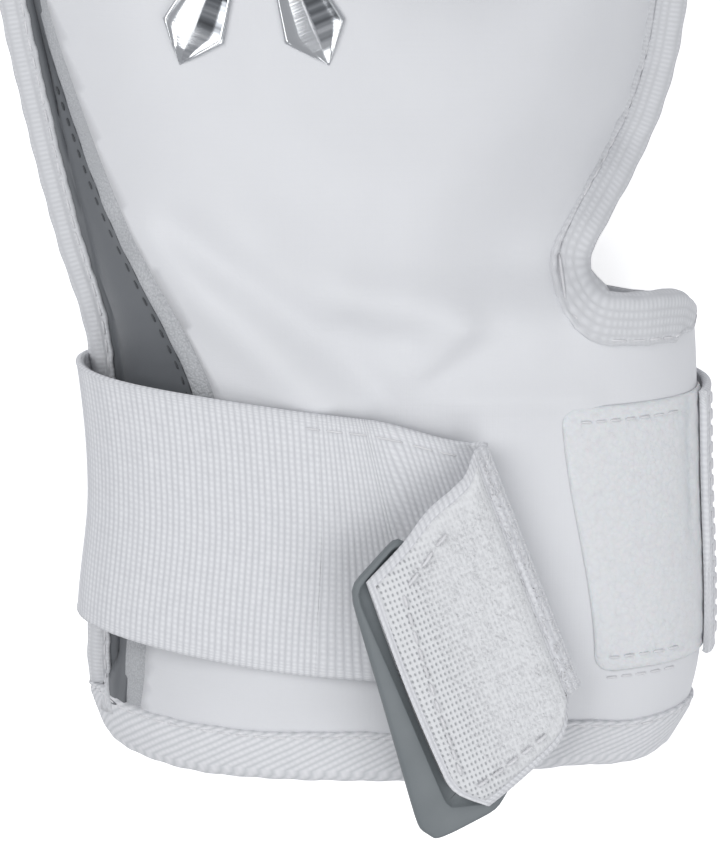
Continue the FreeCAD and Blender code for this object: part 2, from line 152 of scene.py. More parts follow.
def path_through(points: Sequence[Sequence[float]], spacing: float) -> Array:
    """Samples a smooth open path evenly.

    Args:
        points: Points that the path goes through, in any dimension.
        spacing: Distance between samples.

    Returns:
        The samples, one row each, with both ends.
    """
    p = np.array(points, float)
    full = np.vstack([2 * p[0] - p[1], p, 2 * p[-1] - p[-2]])
    out = []
    for a, b, c, d in zip(full, full[1:], full[2:], full[3:]):
        t = np.linspace(0, 1, 24, endpoint=False)[:, None]
        out.append(0.5 * (2 * b + (c - a) * t + (2 * a - 5 * b + 4 * c - d) * t**2
                          + (3 * b - a - 3 * c + d) * t**3))
    line = np.vstack(out + [p[-1:]])
    return resample(line, spacing)


def resample(line: Array, spacing: float) -> Array:
    """Evenly spaced points along a polyline, with both ends."""
    along = lengths(line)
    count = max(2, int(round(along[-1] / spacing)) + 1)
    at = np.linspace(0, along[-1], count)
    return np.stack([np.interp(at, along, line[:, k]) for k in range(line.shape[1])], axis=1)


def unit(v: Array) -> Array:
    """Vectors scaled to length one."""
    return v / np.maximum(np.linalg.norm(v, axis=-1, keepdims=True), 1e-9)


def ripple(p: Array, size: float, seed: int) -> Array:
    """Smooth waviness between about -1 and 1.

    Args:
        p: Points, one row each, in any dimension.
        size: Typical width of a wave.
        seed: Picks the pattern.

    Returns:
        One value for each point.
    """
    rng = np.random.default_rng(seed)
    total = np.zeros(len(p))
    for _ in range(7):
        wave = rng.normal(size=p.shape[1])
        wave *= rng.uniform(0.6, 1.5) / np.linalg.norm(wave)
        total += np.sin(p @ wave * (2 * math.pi / size) + rng.uniform(0, 6.28))
    return total / 3.2


def ripple_over(a: Array, b: Array, size: float, seed: int) -> Array:
    """Waviness over a grid whose coordinates are a and b."""
    return ripple(np.stack([a, b], axis=-1).reshape(-1, 2), size, seed).reshape(a.shape)


# ---- meshes -------------------------------------------------------------------------
def add_mesh(name: str, points: Array, faces: Sequence[Sequence[int]], uv: Array | None = None,
             smooth: bool = True) -> Piece:
    """Makes a mesh object.

    Args:
        name: Name of the piece.
        points: Vertices in millimetres, in the row frame.
        faces: Vertex numbers of each face.
        uv: Place of each vertex on the cloth in millimetres, if the pattern needs it.
        smooth: Whether the faces shade smoothly.

    Returns:
        The object, linked to the scene.
    """
    mesh = bpy.data.meshes.new(name)
    mesh.from_pydata((np.asarray(points) * MM).tolist(), [], [tuple(map(int, f)) for f in faces])
    if uv is not None:
        layer = mesh.uv_layers.new(name="cloth")
        index = np.empty(len(mesh.loops), int)
        mesh.loops.foreach_get("vertex_index", index)
        layer.data.foreach_set("uv", (np.asarray(uv)[index] * MM).astype(np.float32).ravel())
    mesh.validate()
    mesh.polygons.foreach_set("use_smooth", [smooth] * len(mesh.polygons))
    obj = bpy.data.objects.new(name, mesh)
    bpy.context.scene.collection.objects.link(obj)
    return obj


def grid_faces(rows: int, columns: int, wrap: bool = False, first: int = 0) -> list[tuple[int, ...]]:
    """Quads of a grid of points stored row by row.

    Args:
        rows: Points along the first way.
        columns: Points along the second way.
        wrap: Whether the last column joins the first.
        first: Number of the grid's first vertex.

    Returns:
        The quads.
    """
    quads = []
    for i in range(rows - 1):
        for j in range(columns if wrap else columns - 1):
            k = (j + 1) % columns
            a, b = first + i * columns, first + (i + 1) * columns
            quads.append((a + j, a + k, b + k, b + j))
    return quads


def loop_band(name: str, rings: Array, uv: Array | None = None, caps: bool = True) -> Piece:
    """Closed band from one ring of points after another.

    Args:
        name: Name of the piece.
        rings: Array of (ring, point, xyz) in millimetres.
        uv: Array of (ring, point, 2), or None.
        caps: Whether both ends are closed.

    Returns:
        The object.
    """
    n, m = rings.shape[:2]
    faces = grid_faces(n, m, wrap=True)
    if caps:
        faces += [tuple(range(m))[::-1], tuple((n - 1) * m + j for j in range(m))]
    return add_mesh(name, rings.reshape(-1, 3), faces, None if uv is None else uv.reshape(-1, 2))


def there_and_back(upper: Array, lower: Array) -> Array:
    """Rings that run over the upper side and return under the lower one."""
    return np.concatenate([upper, lower[:, ::-1]], axis=1)


def join(name: str, parts: Sequence[Piece]) -> Piece:
    """Joins objects that share one finish into one piece."""
    mesh = bpy.data.meshes.new(name)
    merged = bmesh.new()
    for part in parts:
        merged.from_mesh(part.data)
    merged.to_mesh(mesh)
    merged.free()
    for part in parts:
        bpy.data.objects.remove(part)
    obj = bpy.data.objects.new(name, mesh)
    bpy.context.scene.collection.objects.link(obj)
    return obj


def thicken(obj: Piece, thickness: float) -> Piece:
    """Gives an open surface a thickness away from its normals, in millimetres."""
    solid = obj.modifiers.new("thickness", "SOLIDIFY")
    solid.thickness = thickness * MM
    solid.offset = -1
    mesh = bpy.data.meshes.new_from_object(obj.evaluated_get(bpy.context.evaluated_depsgraph_get()))
    obj.modifiers.clear()
    obj.data = mesh
    return obj


def rods(name: str, starts: Array, ends: Array, radius: float, sides: int = 5,
         bow: Array | None = None) -> Piece:
    """Many short round rods, such as stitches, each bowed in the middle.

    Args:
        name: Name of the piece.
        starts: First point of each rod, in millimetres.
        ends: Last point of each rod.
        radius: Radius in millimetres.
        sides: Corners of a rod's section.
        bow: Offset of each rod's middle, or None.

    Returns:
        The object.
    """
    count = len(starts)
    run = unit(ends - starts)
    helper = np.where(np.abs(run[:, 2:3]) < 0.9, [[0.0, 0.0, 1.0]], [[1.0, 0.0, 0.0]])
    side = unit(np.cross(run, helper))
    up = np.cross(side, run)
    bow = np.zeros((count, 3)) if bow is None else bow
    stops = np.array([0.0, 0.12, 0.5, 0.88, 1.0])
    swell = np.array([0.35, 0.9, 1.0, 0.9, 0.35])
    arch = np.array([0.0, 0.6, 1.0, 0.6, 0.0])
    angle = np.arange(sides) * (2 * math.pi / sides)
    centre = (starts[:, None] + (ends - starts)[:, None] * stops[None, :, None]
              + bow[:, None] * arch[None, :, None])
    spoke = side[:, None] * np.cos(angle)[None, :, None] + up[:, None] * np.sin(angle)[None, :, None]
    points = centre[:, :, None] + spoke[:, None] * (radius * swell)[None, :, None, None]
    faces = []
    block = len(stops) * sides
    for k in range(count):
        faces += grid_faces(len(stops), sides, True, k * block)
        faces.append(tuple(k * block + j for j in range(sides))[::-1])
        faces.append(tuple((k + 1) * block - sides + j for j in range(sides)))
    return add_mesh(name, points.reshape(-1, 3), faces)


def stitches(name: str, rows: Iterable[tuple[Callable[[Array], Array], Array, float]], radius: float,
             sides: int = 5, bow: Sequence[float] = (0.0, 0.0, 0.0)) -> Piece:
    """Rows of stitches.

    Args:
        name: Name of the piece.
        rows: For each row what places a distance, the start of each stitch, and their length.
        radius: Radius of the thread in millimetres.
        sides: Corners of its section.
        bow: How far the middle of each stitch stands out.

    Returns:
        The thread.
    """
    starts = np.vstack([place(begin) for place, begin, _ in rows])
    ends = np.vstack([place(begin + length) for place, begin, length in rows])
    return rods(name, starts, ends, radius, sides, np.tile(bow, (len(starts), 1)))


# ---- finishes -----------------------------------------------------------------------
def linear(hex_colour: str) -> tuple[float, float, float, float]:
    """Opaque linear RGBA of an sRGB hex colour such as "#dcdde0"."""
    parts = [int(hex_colour[k:k + 2], 16) / 255 for k in (1, 3, 5)]
    r, g, b = (c / 12.92 if c <= 0.04045 else ((c + 0.055) / 1.055) ** 2.4 for c in parts)
    return r, g, b, 1.0


def node(tree: Tree, kind: str, links: dict | None = None, **settings) -> Node:
    """Adds a node.

    Args:
        tree: Node tree that gets it.
        kind: Its bl_idname.
        links: Input name or number to a value, or to the socket that feeds it.
        settings: Attributes of the node.

    Returns:
        The node.
    """
    made = tree.nodes.new(kind)
    for key, value in settings.items():
        setattr(made, key, value)
    for key, value in (links or {}).items():
        if isinstance(value, Socket):
            tree.links.new(value, made.inputs[key])
        else:
            made.inputs[key].default_value = value
    return made


class Recipe:
    """A finish: a named node material that a subclass paints."""

    name: str

    def paint(self, tree: Tree) -> Node:
        """Adds the nodes of the surface and returns its shader."""
        raise NotImplementedError

    def material(self) -> Material:
        """Builds the material."""
        made = bpy.data.materials.new(self.name)
        made.use_nodes = True
        tree = made.node_tree
        tree.nodes.clear()
        node(tree, "ShaderNodeOutputMaterial", {"Surface": self.paint(tree).outputs[0]})
        return made


@dataclass(frozen=True)
class CoatedKnit(Recipe):
    """Knit jersey with a thin matt polyurethane coat, laminated to foam.

    The coat fills the stitches, so the eye sees a soft even white with only a trace of the
    knit's square net and a faint cloudiness.
    """

    name: str = "pu_coated_knit"
    colour: str = "#e0e1e4"
    shade: str = "#d6d7da"
    stitch_mm: float = 1.1
    cloud_mm: float = 24.0
    grain_mm: float = 0.5
    roughness: float = 0.52

    def paint(self, tree: Tree) -> Node:
        """Clouds the colour and lays a fine grain over the net of stitches."""
        place = node(tree, "ShaderNodeTexCoord").outputs["Object"]
        clouds = node(tree, "ShaderNodeTexNoise", {
            "Vector": place, "Scale": 1000 / self.cloud_mm, "Detail": 3.0})
        tint = node(tree, "ShaderNodeMix", {
            0: clouds.outputs["Fac"], 6: linear(self.shade), 7: linear(self.colour)}, data_type="RGBA")
        net = node(tree, "ShaderNodeTexBrick", {
            "Vector": place, "Scale": 1000 / self.stitch_mm, "Brick Width": 1.0, "Row Height": 1.0,
            "Mortar Size": 0.12, "Mortar Smooth": 1.0}, offset=0.0)
        grain = node(tree, "ShaderNodeTexNoise", {
            "Vector": place, "Scale": 1000 / self.grain_mm, "Detail": 4.0})
        low = node(tree, "ShaderNodeBump", {
            "Strength": 0.10, "Distance": 0.00012, "Height": net.outputs["Fac"]}, invert=True)
        bump = node(tree, "ShaderNodeBump", {
            "Strength": 0.16, "Distance": 0.0001, "Height": grain.outputs["Fac"], "Normal": low.outputs[0]})
        return node(tree, "ShaderNodeBsdfPrincipled", {
            "Base Color": tint.outputs[2], "Roughness": self.roughness, "Sheen Weight": 0.12,
            "Sheen Roughness": 0.5, "Specular IOR Level": 0.35, "Normal": bump.outputs[0]})


def bead_grid(tree: Tree, cloth: Socket, across_mm: float, along_mm: float, floor: float) -> Socket:
    """Rounded beads in straight rows, as woven floats make them.

    Args:
        tree: Node tree that gets them.
        cloth: Place on the cloth in metres.
        across_mm: Distance between rows, along the first axis.
        along_mm: Distance between beads of a row.
        floor: Height between the beads of a row; 1 gives smooth ribs.

    Returns:
        Socket with the height, 0 to 1.
    """
    axes = node(tree, "ShaderNodeSeparateXYZ", {0: cloth})
    waves = []
    for axis, pitch in (("X", across_mm), ("Y", along_mm)):
        turn = node(tree, "ShaderNodeMath", {
            0: axes.outputs[axis], 1: 2 * math.pi / (pitch * MM)}, operation="MULTIPLY")
        wave = node(tree, "ShaderNodeMath", {0: turn.outputs[0]}, operation="COSINE")
        waves.append(node(tree, "ShaderNodeMath", {
            0: wave.outputs[0], 1: 0.5, 2: 0.5}, operation="MULTIPLY_ADD").outputs[0])
    rib = node(tree, "ShaderNodeMath", {0: waves[0], 1: RIB_ROUNDNESS}, operation="POWER")
    bead = node(tree, "ShaderNodeMath", {0: waves[1], 1: 1.0 - floor, 2: floor}, operation="MULTIPLY_ADD")
    both = node(tree, "ShaderNodeMath", {0: rib.outputs[0], 1: bead.outputs[0]}, operation="MULTIPLY")
    return both.outputs[0]


def drifted(tree: Tree, cloth: Socket, size_mm: float, sway_mm: float) -> Socket:
    """Place on the cloth with a slow drift, so that no row of threads is dead straight.

    Args:
        tree: Node tree that gets it.
        cloth: Place on the cloth in metres.
        size_mm: Width of a wave of the drift.
        sway_mm: How far the place moves.

    Returns:
        Socket with the moved place.
    """
    drift = node(tree, "ShaderNodeTexNoise", {"Vector": cloth, "Scale": 1000 / size_mm, "Detail": 2.0})
    sway = node(tree, "ShaderNodeVectorMath", {
        0: drift.outputs["Color"], 1: (sway_mm * MM,) * 3}, operation="MULTIPLY")
    return node(tree, "ShaderNodeVectorMath", {0: cloth, 1: sway.outputs[0]}, operation="ADD").outputs[0]


@dataclass(frozen=True)
class WovenCloth(Recipe):
    """White polyester webbing, woven in rows of small raised floats.

    Binding tape has flat rows that show as strings of tiny pale dots, hem twill slants in fine
    ribs, and the strap's elastic has deep ribs over its covered rubber strands. The hollows
    between the rows are painted darker, as painted shade.
    """

    name: str
    row_mm: float
    bead_mm: float
    turn_deg: float
    depth_mm: float
    floor: float
    colour: str = "#e4e4e7"
    hollow_shade: str = "#cbccd0"
    sway_mm: float = 0.35
    drift_mm: float = 8.0
    wear_mm: float = 2.5
    fuzz_mm: float = 0.3

    def paint(self, tree: Tree) -> Node:
        """Weaves the rows, paints shade into their hollows, wears them unevenly and lays fibre fuzz over
        them.
        """
        cloth = node(tree, "ShaderNodeUVMap", uv_map="cloth").outputs["UV"]
        turned = node(tree, "ShaderNodeMapping", {
            "Vector": drifted(tree, cloth, self.drift_mm, self.sway_mm), "Rotation": (0, 0,
            math.radians(self.turn_deg))})
        weave = bead_grid(tree, turned.outputs[0], self.row_mm, self.bead_mm, self.floor)
        fuzz, wear = (node(tree, "ShaderNodeTexNoise", {
            "Vector": cloth, "Scale": 1000 / size, "Detail": 3.0}) for size in (self.fuzz_mm, self.wear_mm))
        patchy = node(tree, "ShaderNodeMath", {
            0: wear.outputs["Fac"], 1: 0.5, 2: -0.25}, operation="MULTIPLY_ADD")
        shade = node(tree, "ShaderNodeMath", {
            0: weave, 1: patchy.outputs[0]}, operation="ADD", use_clamp=True)
        # Painted shade: the tint darkens towards hollow_shade where the weave is low; the wear noise adds
        # random tone.
        tint = node(tree, "ShaderNodeMix", {
            0: shade.outputs[0], 6: linear(self.hollow_shade), 7: linear(self.colour)}, data_type="RGBA")
        low = node(tree, "ShaderNodeBump", {"Strength": 1.0, "Distance": self.depth_mm * MM, "Height": weave})
        bump = node(tree, "ShaderNodeBump", {
            "Strength": 0.35, "Distance": 0.00012, "Height": fuzz.outputs["Fac"], "Normal": low.outputs[0]})
        return node(tree, "ShaderNodeBsdfPrincipled", {
            "Base Color": tint.outputs[2], "Roughness": 0.82, "Sheen Weight": 0.25,
            "Sheen Roughness": 0.4, "Specular IOR Level": 0.25, "Normal": bump.outputs[0]})


@dataclass(frozen=True)
class HookTape(Recipe):
    """Woven nylon tape whose face bristles with clear hooks.

    The ground shows pinholes between its threads in slanting rows, darkened with painted shade;
    where the hooks stand they blur it to an even pale haze.
    """

    name: str = "nylon_hook_tape"
    colour: str = "#dfe0e2"
    pinhole_shade: str = "#a8aaad"
    row_mm: float = 1.25
    hole_mm: float = 0.9
    drift_mm: float = 3.0
    sway_mm: float = 0.5
    fuzz_mm: float = 0.4
    hazed_to_mm: float = 13.5
    bare_from_mm: float = 20.5

    def paint(self, tree: Tree) -> Node:
        """Paints shade into the pinholes and hazes it over where the hooks stand."""
        cloth = node(tree, "ShaderNodeUVMap", uv_map="cloth").outputs["UV"]
        place = drifted(tree, cloth, self.drift_mm, self.sway_mm)
        threads = bead_grid(tree, place, self.row_mm, self.hole_mm, 0.0)
        dash = node(tree, "ShaderNodeMapRange", {"Value": threads, "From Min": 0.45, "From Max": 0.85})
        axes = node(tree, "ShaderNodeSeparateXYZ", {0: cloth})
        haze = node(tree, "ShaderNodeMapRange", {
            "Value": axes.outputs["Y"], "To Min": 0.04, "To Max": 1.0, "From Min": self.hazed_to_mm * MM,
            "From Max": self.bare_from_mm * MM})
        dark = node(tree, "ShaderNodeMath", {
            0: dash.outputs["Result"], 1: haze.outputs["Result"]}, operation="MULTIPLY")
        # Painted shade: the pinholes take the darker pinhole_shade colour, faded where the hooks stand.
        tint = node(tree, "ShaderNodeMix", {
            0: dark.outputs[0], 6: linear(self.colour), 7: linear(self.pinhole_shade)}, data_type="RGBA")
        fuzz = node(tree, "ShaderNodeTexNoise", {
            "Vector": cloth, "Scale": 1000 / self.fuzz_mm, "Detail": 4.0})
        low = node(tree, "ShaderNodeBump", {
            "Strength": 1.0, "Distance": 0.00014, "Height": threads}, invert=True)
        bump = node(tree, "ShaderNodeBump", {
            "Strength": 0.5, "Distance": 0.0002, "Height": fuzz.outputs["Fac"], "Normal": low.outputs[0]})
        return node(tree, "ShaderNodeBsdfPrincipled", {
            "Base Color": tint.outputs[2], "Roughness": 0.7, "Sheen Weight": 0.3,
            "Sheen Roughness": 0.35, "Specular IOR Level": 0.35, "Normal": bump.outputs[0]})


@dataclass(frozen=True)
class GrainedSurface(Recipe):
    """A moulded, coated or cut surface whose texture is one fine grain.

    The grain's size and depth tell leather pebble from foam cells, coated cloth or moulded
    rubber, and its colour shifts a little from spot to spot.
    """

    name: str
    colour: str
    second: str
    grain_mm: float
    depth_mm: float
    roughness: float
    sheen: float = 0.0
    cells: bool = True
    patch_mm: float = 12.0
    cell_shade: float = 0.0
    uneven: float = 0.05

    def paint(self, tree: Tree) -> Node:
        """Lays the grain, and shifts colour and shine from patch to patch."""
        place = node(tree, "ShaderNodeTexCoord").outputs["Object"]
        patch = node(tree, "ShaderNodeTexNoise", {
            "Vector": place, "Scale": 1000 / self.patch_mm, "Detail": 3.0})
        kind = "ShaderNodeTexVoronoi" if self.cells else "ShaderNodeTexNoise"
        grain = node(tree, kind, {"Vector": place, "Scale": 1000 / self.grain_mm})
        # Painted shade where cell_shade is set: the grain's cells darken the colour; the patch noise adds
        # random tone.
        shade_and_tone = node(tree, "ShaderNodeMath", {0: grain.outputs[0], 1: self.cell_shade, 2: patch.outputs["Fac"]},
                     operation="MULTIPLY_ADD", use_clamp=True)
        tint = node(tree, "ShaderNodeMix", {
            0: shade_and_tone.outputs[0], 6: linear(self.colour), 7: linear(self.second)}, data_type="RGBA")
        rough = node(tree, "ShaderNodeMapRange", {
            "Value": patch.outputs["Fac"], "To Min": self.roughness - self.uneven,
            "To Max": self.roughness + self.uneven})
        bump = node(tree, "ShaderNodeBump", {
            "Strength": 0.7, "Distance": self.depth_mm * MM, "Height": grain.outputs[0]})
        return node(tree, "ShaderNodeBsdfPrincipled", {
            "Base Color": tint.outputs[2], "Roughness": rough.outputs["Result"],
            "Sheen Weight": self.sheen, "Normal": bump.outputs[0]})


@dataclass(frozen=True)
class NappedNylon(Recipe):
    """Nylon hook or loop pile: a dense pale nap that scatters light, with small painted shadows."""

    name: str
    colour: str = "#e3e3e6"
    hollow_shade: str = "#bcbdc0"
    tuft_mm: float = 0.9
    depth_mm: float = 0.5
    hair_mm: float = 0.45

    def paint(self, tree: Tree) -> Node:
        """Breaks the tufts up with tangled hair and paints shade between them."""
        place = node(tree, "ShaderNodeTexCoord").outputs["Object"]
        tufts = node(tree, "ShaderNodeTexVoronoi", {"Vector": place, "Scale": 1000 / self.tuft_mm})
        hair = node(tree, "ShaderNodeTexNoise", {
            "Vector": place, "Scale": 1000 / self.hair_mm, "Detail": 5.0, "Distortion": 1.2})
        both = node(tree, "ShaderNodeMath", {
            0: tufts.outputs["Distance"], 1: hair.outputs["Fac"]}, operation="MULTIPLY")
        # Painted shade: the hollows between tufts take the darker hollow_shade colour.
        tint = node(tree, "ShaderNodeMix", {
            0: both.outputs[0], 6: linear(self.colour), 7: linear(self.hollow_shade)}, data_type="RGBA")
        bump = node(tree, "ShaderNodeBump", {
            "Strength": 0.75, "Distance": self.depth_mm * MM, "Height": both.outputs[0]}, invert=True)
        return node(tree, "ShaderNodeBsdfPrincipled", {
            "Base Color": tint.outputs[2], "Roughness": 0.75, "Sheen Weight": 0.35,
            "Sheen Roughness": 0.35, "Specular IOR Level": 0.35, "Subsurface Weight": 0.08,
            "Subsurface Scale": 0.002, "Normal": bump.outputs[0]})


@dataclass(frozen=True)
class SilveredFilm(Recipe):
    """Raised vinyl with a vacuum-metallised face, shaded from bright to nearly black.

    The film mirrors the room, and the painted reflection in its colour keeps strong contrast in plain light.
    """

    name: str = "silvered_vinyl"
    bright: str = "#cfd1d4"
    middle: str = "#8d9094"
    dark: str = "#232427"
    wave_mm: float = 30.0
    scuff_mm: float = 3.0

    def paint(self, tree: Tree) -> Node:
        """Paints the reflection's bright and dark, waves it a little and scuffs the mirror."""
        cloth = node(tree, "ShaderNodeUVMap", uv_map="cloth").outputs["UV"]
        cells = node(tree, "ShaderNodeSeparateXYZ", {0: cloth})
        wave = node(tree, "ShaderNodeTexNoise", {
            "Vector": cloth, "Scale": 1000 / self.wave_mm, "Detail": 1.0})
        mixed = node(tree, "ShaderNodeMath", {
            0: wave.outputs["Fac"], 1: 0.5, 2: cells.outputs["Y"]}, operation="MULTIPLY_ADD")
        # Painted reflection: each facet's value runs through bright, middle and dark tones.
        ramp = node(tree, "ShaderNodeValToRGB", {"Fac": mixed.outputs[0]})
        stops = ramp.color_ramp.elements
        stops[0].position, stops[0].color = 0.18, linear(self.bright)
        stops[1].position, stops[1].color = 0.95, linear(self.bright)
        for at, colour in ((0.38, self.middle), (0.52, self.dark), (0.66, self.dark), (0.80, self.middle)):
            stops.new(at).color = linear(colour)
        scuff = node(tree, "ShaderNodeTexNoise", {
            "Vector": cloth, "Scale": 1000 / self.scuff_mm, "Detail": 4.0})
        rough = node(tree, "ShaderNodeMapRange", {
            "Value": scuff.outputs["Fac"], "To Min": 0.12, "To Max": 0.26})
        bump = node(tree, "ShaderNodeBump", {
            "Strength": 0.12, "Distance": 0.0002, "Height": scuff.outputs["Fac"]})
        return node(tree, "ShaderNodeBsdfPrincipled", {
            "Base Color": ramp.outputs["Color"], "Metallic": 1.0, "Roughness": rough.outputs["Result"],
            "Normal": bump.outputs[0]})


@dataclass
class Finishes:
    """Every finish of the mitt, built once."""

    made: dict[Slot | str, Material] = field(default_factory=dict)

    def build(self) -> "Finishes":
        """Builds the materials and returns self."""
        recipes = {
            Slot.KNIT: CoatedKnit(),
            Slot.TAPE: WovenCloth("woven_binding_tape", 1.55, 0.95, 90.0, 0.07, 0.3, "#d9dadd", "#cacbce"),
            "hem": WovenCloth("twill_hem_tape", 1.15, 1.3, 64.0, 0.12, 0.75, hollow_shade="#ccced1"),
            Slot.ELASTIC: WovenCloth("ribbed_elastic", 1.25, 1.0, 0.0, 0.11, 0.55, "#e5e6e9", sway_mm=0.25),
            # Cut polyurethane foam: small shadows in its open cells, painted as grey speckle through
            # cell_shade.
            Slot.FOAM: GrainedSurface("cut_foam", "#d9dadd", "#b3b5b8", 0.5, 0.3, 0.95, cell_shade=0.8),
            # Calendered coat on stretch cloth: smooth, dull, with a soft highlight.
            Slot.GUSSET: GrainedSurface(
                "coated_stretch_cloth", "#6c6f73", "#626569", 0.5, 0.04, 0.5, 0.1, cells=False),
            # Embossed PU leather: shallow pebbles that break up the highlight.
            Slot.PALM: GrainedSurface("embossed_pu_leather", "#d9dadd", "#cfd0d3", 1.1, 0.14, 0.5),
            # Warp-knit tricot: matt and slightly brushed.
            Slot.LINING: GrainedSurface(
                "brushed_tricot", "#a5a8ab", "#94979a", 0.6, 0.15, 0.9, 0.3, cells=False),
            # Moulded thermoplastic rubber: fine spark-eroded texture from the mould.
            Slot.TAB: GrainedSurface(
                "moulded_soft_rubber", "#777d80", "#6c7275", 0.35, 0.03, 0.5, cells=False, patch_mm=8.0),
            # Moulded polypropylene plate, hidden between the foam and the lining.
            Slot.PLATE: GrainedSurface(
                "moulded_polypropylene", "#2c2d2f", "#242527", 0.4, 0.05, 0.45, cells=False),
            # Bonded polyester thread: slightly glossy, with its twist too fine to see.
            Slot.THREAD: GrainedSurface(
                "bonded_thread", "#e6e6e8", "#cfcfd2", 0.3, 0.1, 0.55, 0.2, cells=False, patch_mm=2.0),
            Slot.DARK_THREAD: GrainedSurface(
                "dark_bonded_thread", "#4c4f52", "#3b3e41", 0.3, 0.1, 0.6, 0.2, cells=False, patch_mm=2.0),
            Slot.HOOK: HookTape(),
            Slot.LOOP: NappedNylon("nylon_loops", "#e0e1e3", "#d4d5d8", 1.0, 0.25),
            # Extruded nylon: clear fibres that look white in a bunch.
            "fibre": GrainedSurface("nylon_fibre", "#f0f0f2", "#e6e6e8", 1.0, 0.02, 0.45, 0.3, cells=False),
            Slot.EMBLEM: SilveredFilm(),
        }
        self.made = {key: recipe.material() for key, recipe in recipes.items()}
        return self

    def give(self, obj: Piece, slot: Slot, replaces: Iterable[str] = (), key: str = "") -> Piece:
        """Gives a piece the finish of its record slot, and hides the CAD nodes that it stands for.

        Args:
            obj: The piece.
            slot: Slot of the record.
            replaces: CAD nodes that it stands for.
            key: Finish of its own, where it isn't the slot's.

        Returns:
            The piece.
        """
        obj.data.materials.clear()
        obj.data.materials.append(self.made[key or slot])
        nodes = list(replaces)
        if nodes:
            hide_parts(*nodes)
        LOG.info("%s: %d points", obj.name, len(obj.data.vertices))
        return obj


